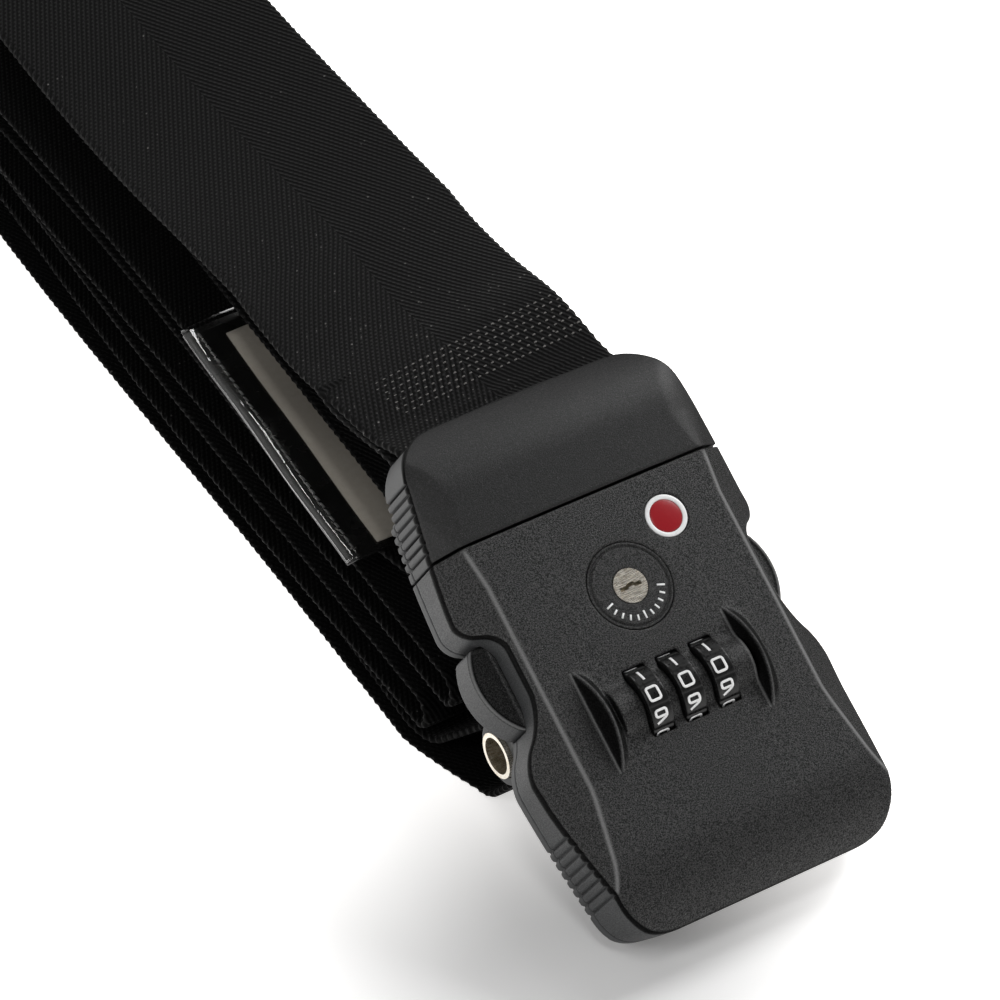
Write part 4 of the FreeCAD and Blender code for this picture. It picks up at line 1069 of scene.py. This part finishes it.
def label_sheet(name, u_range, v_range, height, thick, material, stands_for, wave=0.5,
                cuts=(16, 40)):
    """A thin sheet of the label, laid on its webbing layer with slight waves."""
    us = np.linspace(*u_range, cuts[0])
    vs = np.linspace(*v_range, cuts[1])
    u, v = np.meshgrid(us, vs, indexing="ij")
    hang = np.clip((-24 - u) / 10, 0, 1)
    z = height + wave * np.sin(v / 7.0 + u / 5.0) * 0.4 - 1.4 * hang**2
    x = u + LABEL_SKEW * (v - 76)
    sides = [np.stack([x, BACK + v, z + rise], 2).reshape(-1, 3) for rise in (0, thick)]
    points = np.concatenate(sides) / 1000
    nu, nv = len(us), len(vs)
    i, j = np.meshgrid(np.arange(nu - 1), np.arange(nv - 1), indexing="ij")
    a = (i * nv + j).ravel()
    lower = np.stack([a, a + 1, a + nv + 1, a + nv], 1)
    upper = lower[:, ::-1] + nu * nv
    ring = np.concatenate(
        [np.arange(nv), np.arange(1, nu) * nv + nv - 1, (nu - 1) * nv + np.arange(nv - 1)[::-1],
         np.arange(1, nu - 1)[::-1] * nv]
    )
    after = np.roll(ring, -1)
    rim = np.stack([ring, ring + nu * nv, after + nu * nv, after], 1)
    obj = mesh_object(name, points, np.concatenate([lower, upper, rim]), material)
    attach(obj, "receiver")
    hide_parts(stands_for)


def build_label():
    low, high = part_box("id_backing")
    base = low.z * 1000
    ys = (low.y * 1000 - BACK, high.y * 1000 - BACK)
    near, far = ys[0] + 1, ys[1] - 1
    label_sheet("label_backing", (-28.6, 22), (near, far), base, 0.5, BORDER, "id_backing")
    label_sheet("label_card", (-21.0, 18), (near + 2, far - 5), base + 0.6, 0.3, CARD, "id_card")
    label_sheet("label_window", (-28.9, 22.5), (near - 0.4, far + 0.4), base + 1.1, 0.3, VINYL,
                "id_window", 0.8, (30, 80))
    build_label_stitches(near, far, base)


def build_label_stitches(near, far, base):
    """Running stitches along the label's border."""
    points, quads = [], []
    pitch = 2.2
    for k in range(int((far - near - 4) / pitch)):
        v = near + 3 + pitch * k
        x = -26.2 + LABEL_SKEW * (v - 76)
        add_stitch(points, quads, [
            [(x + dx, BACK + v + dv, base + 1.45 + rise * top)
             for dx, top in ((0.25, 0), (0, 1), (-0.25, 0))]
            for dv, rise in ((-0.8, 0), (-0.4, 0.3), (0.4, 0.3), (0.8, 0))
        ])
    obj = mesh_object("label_stitches", np.array(points) / 1000, np.array(quads), THREAD)
    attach(obj, "receiver")


# ---- carried-over parts ----

FINISHES = (
    (INNER, ("screw_bosses", "spring_seats", "plug_tongue", "reset_button")),
    (STEEL, ("receiver_screws", "plug_screws", "button_spring_right", "button_spring_left",
             "slider_spring", "dial_shaft", "detent_spring", "key_cam", "lock_slider",
             "webbing_bar")),
    (NICKEL, ("webbing_roller", "key_plug")),
    (BRASS, ("dial_sleeve_1", "dial_sleeve_2", "dial_sleeve_3")),
)
NO_BEVEL = ("spring", "dial_shaft")


def finish_cad_parts():
    """Materials and soft edges for the CAD's own pieces that stay."""
    chosen = [(material, name) for material, names in FINISHES for name in names]
    for material, name in chosen:
        obj = frame["nodes"][name]
        obj.data.materials.clear()
        obj.data.materials.append(material)
        if not any(word in name for word in NO_BEVEL):
            bevel = obj.modifiers.new("soft_edges", "BEVEL")
            bevel.width = 0.00015
            bevel.segments = 2
            bevel.limit_method = "ANGLE"
            bevel.angle_limit = math.radians(40)


# ---- studio ----


def build_floor():
    mat, tree, shader = new_material("studio_floor", Roughness=0.9)
    point = place_point(tree, False)
    cloud = noise(tree, point, 0.003)
    pale = mix(tree, cloud, grey(0.90, 0.004), grey(0.93, 0.004))
    tree.links.new(pale, shader.inputs["Base Color"])
    shader.inputs["Specular IOR Level"].default_value = 0.0
    shader.inputs["Emission Color"].default_value = (1, 0.985, 0.97, 1)
    # painted light: the floor glows, and round the buckle's tip the glow fades out to paint the tip's
    # shadow on the floor
    tip = node(tree, "VectorMath", {0: point, 1: (-40.0, -192.0, 0.0)}, operation="DISTANCE")
    glow = ramp(tree, tip.outputs["Value"], 15.0, 85.0, 0.05, 0.9)
    tree.links.new(glow, shader.inputs["Emission Strength"])
    points = np.array([(-6, -6, 0), (6, -6, 0), (6, 6, 0), (-6, 6, 0)], float)
    floor = mesh_object("studio_floor", points, np.array([(0, 1, 2, 3)]), mat, False, False)
    floor.location.z = -0.0002


def aim(obj, target):
    obj.rotation_euler = (Vector(target) - obj.location).to_track_quat("-Z", "Y").to_euler()


def area_light(name, place, target, size, power, colour=(1, 1, 1)):
    data = bpy.data.lights.new(name, "AREA")
    data.shape = "RECTANGLE"
    data.size, data.size_y = size
    data.energy = power
    data.color = colour
    lamp = bpy.data.objects.new(name, data)
    bpy.context.scene.collection.objects.link(lamp)
    lamp.location = place
    aim(lamp, target)


def build_studio():
    world = bpy.data.worlds.new("studio")
    bpy.context.scene.world = world
    world.use_nodes = True
    tree = world.node_tree
    background = tree.nodes["Background"]
    way = node(tree, "SeparateXYZ", {0: node(tree, "TexCoord").outputs["Generated"]})
    glow = ramp(tree, way.outputs["Z"], 0.05, 0.75, 0.7, 0.2)
    sky = node(tree, "CombineColor", {0: glow, 1: glow, 2: glow}).outputs[0]
    tree.links.new(sky, background.inputs["Color"])
    here = (0, -0.13, 0.04)
    area_light("key_light", (1.2, 0.1, 1.05), here, (0.7, 0.7), 16)
    area_light("top_light", (-0.33, -0.65, 1.25), here, (0.3, 0.3), 2.2)
    area_light("side_light", (-1.25, -0.3, 0.95), here, (0.6, 0.6), 5.2)
    area_light("back_light", (0.25, 0.75, 1.0), here, (0.3, 0.3), 3.0)
    bpy.context.scene.view_settings.view_transform = "Standard"
    bpy.context.scene.view_settings.look = "None"


def build_camera():
    data = bpy.data.cameras.new("camera")
    data.sensor_width = 36
    data.lens = 234.1
    data.clip_start = 0.05
    camera = bpy.data.objects.new("camera", data)
    bpy.context.scene.collection.objects.link(camera)
    azimuth, elevation, distance = math.radians(-33.03), math.radians(39.94), 1.2
    target = Vector((-0.0147, -0.1284, 0.0616))
    back = Vector((
        math.sin(azimuth) * math.cos(elevation),
        -math.cos(azimuth) * math.cos(elevation),
        math.sin(elevation),
    ))
    camera.location = target + back * distance
    aim(camera, target)
    bpy.context.scene.camera = camera


build_buckle()
build_numbers()
build_collar_marks()
build_badge()
build_stitches(*build_webbing())
build_label()
finish_cad_parts()
build_floor()
build_studio()
build_camera()

bpy.context.view_layer.update()
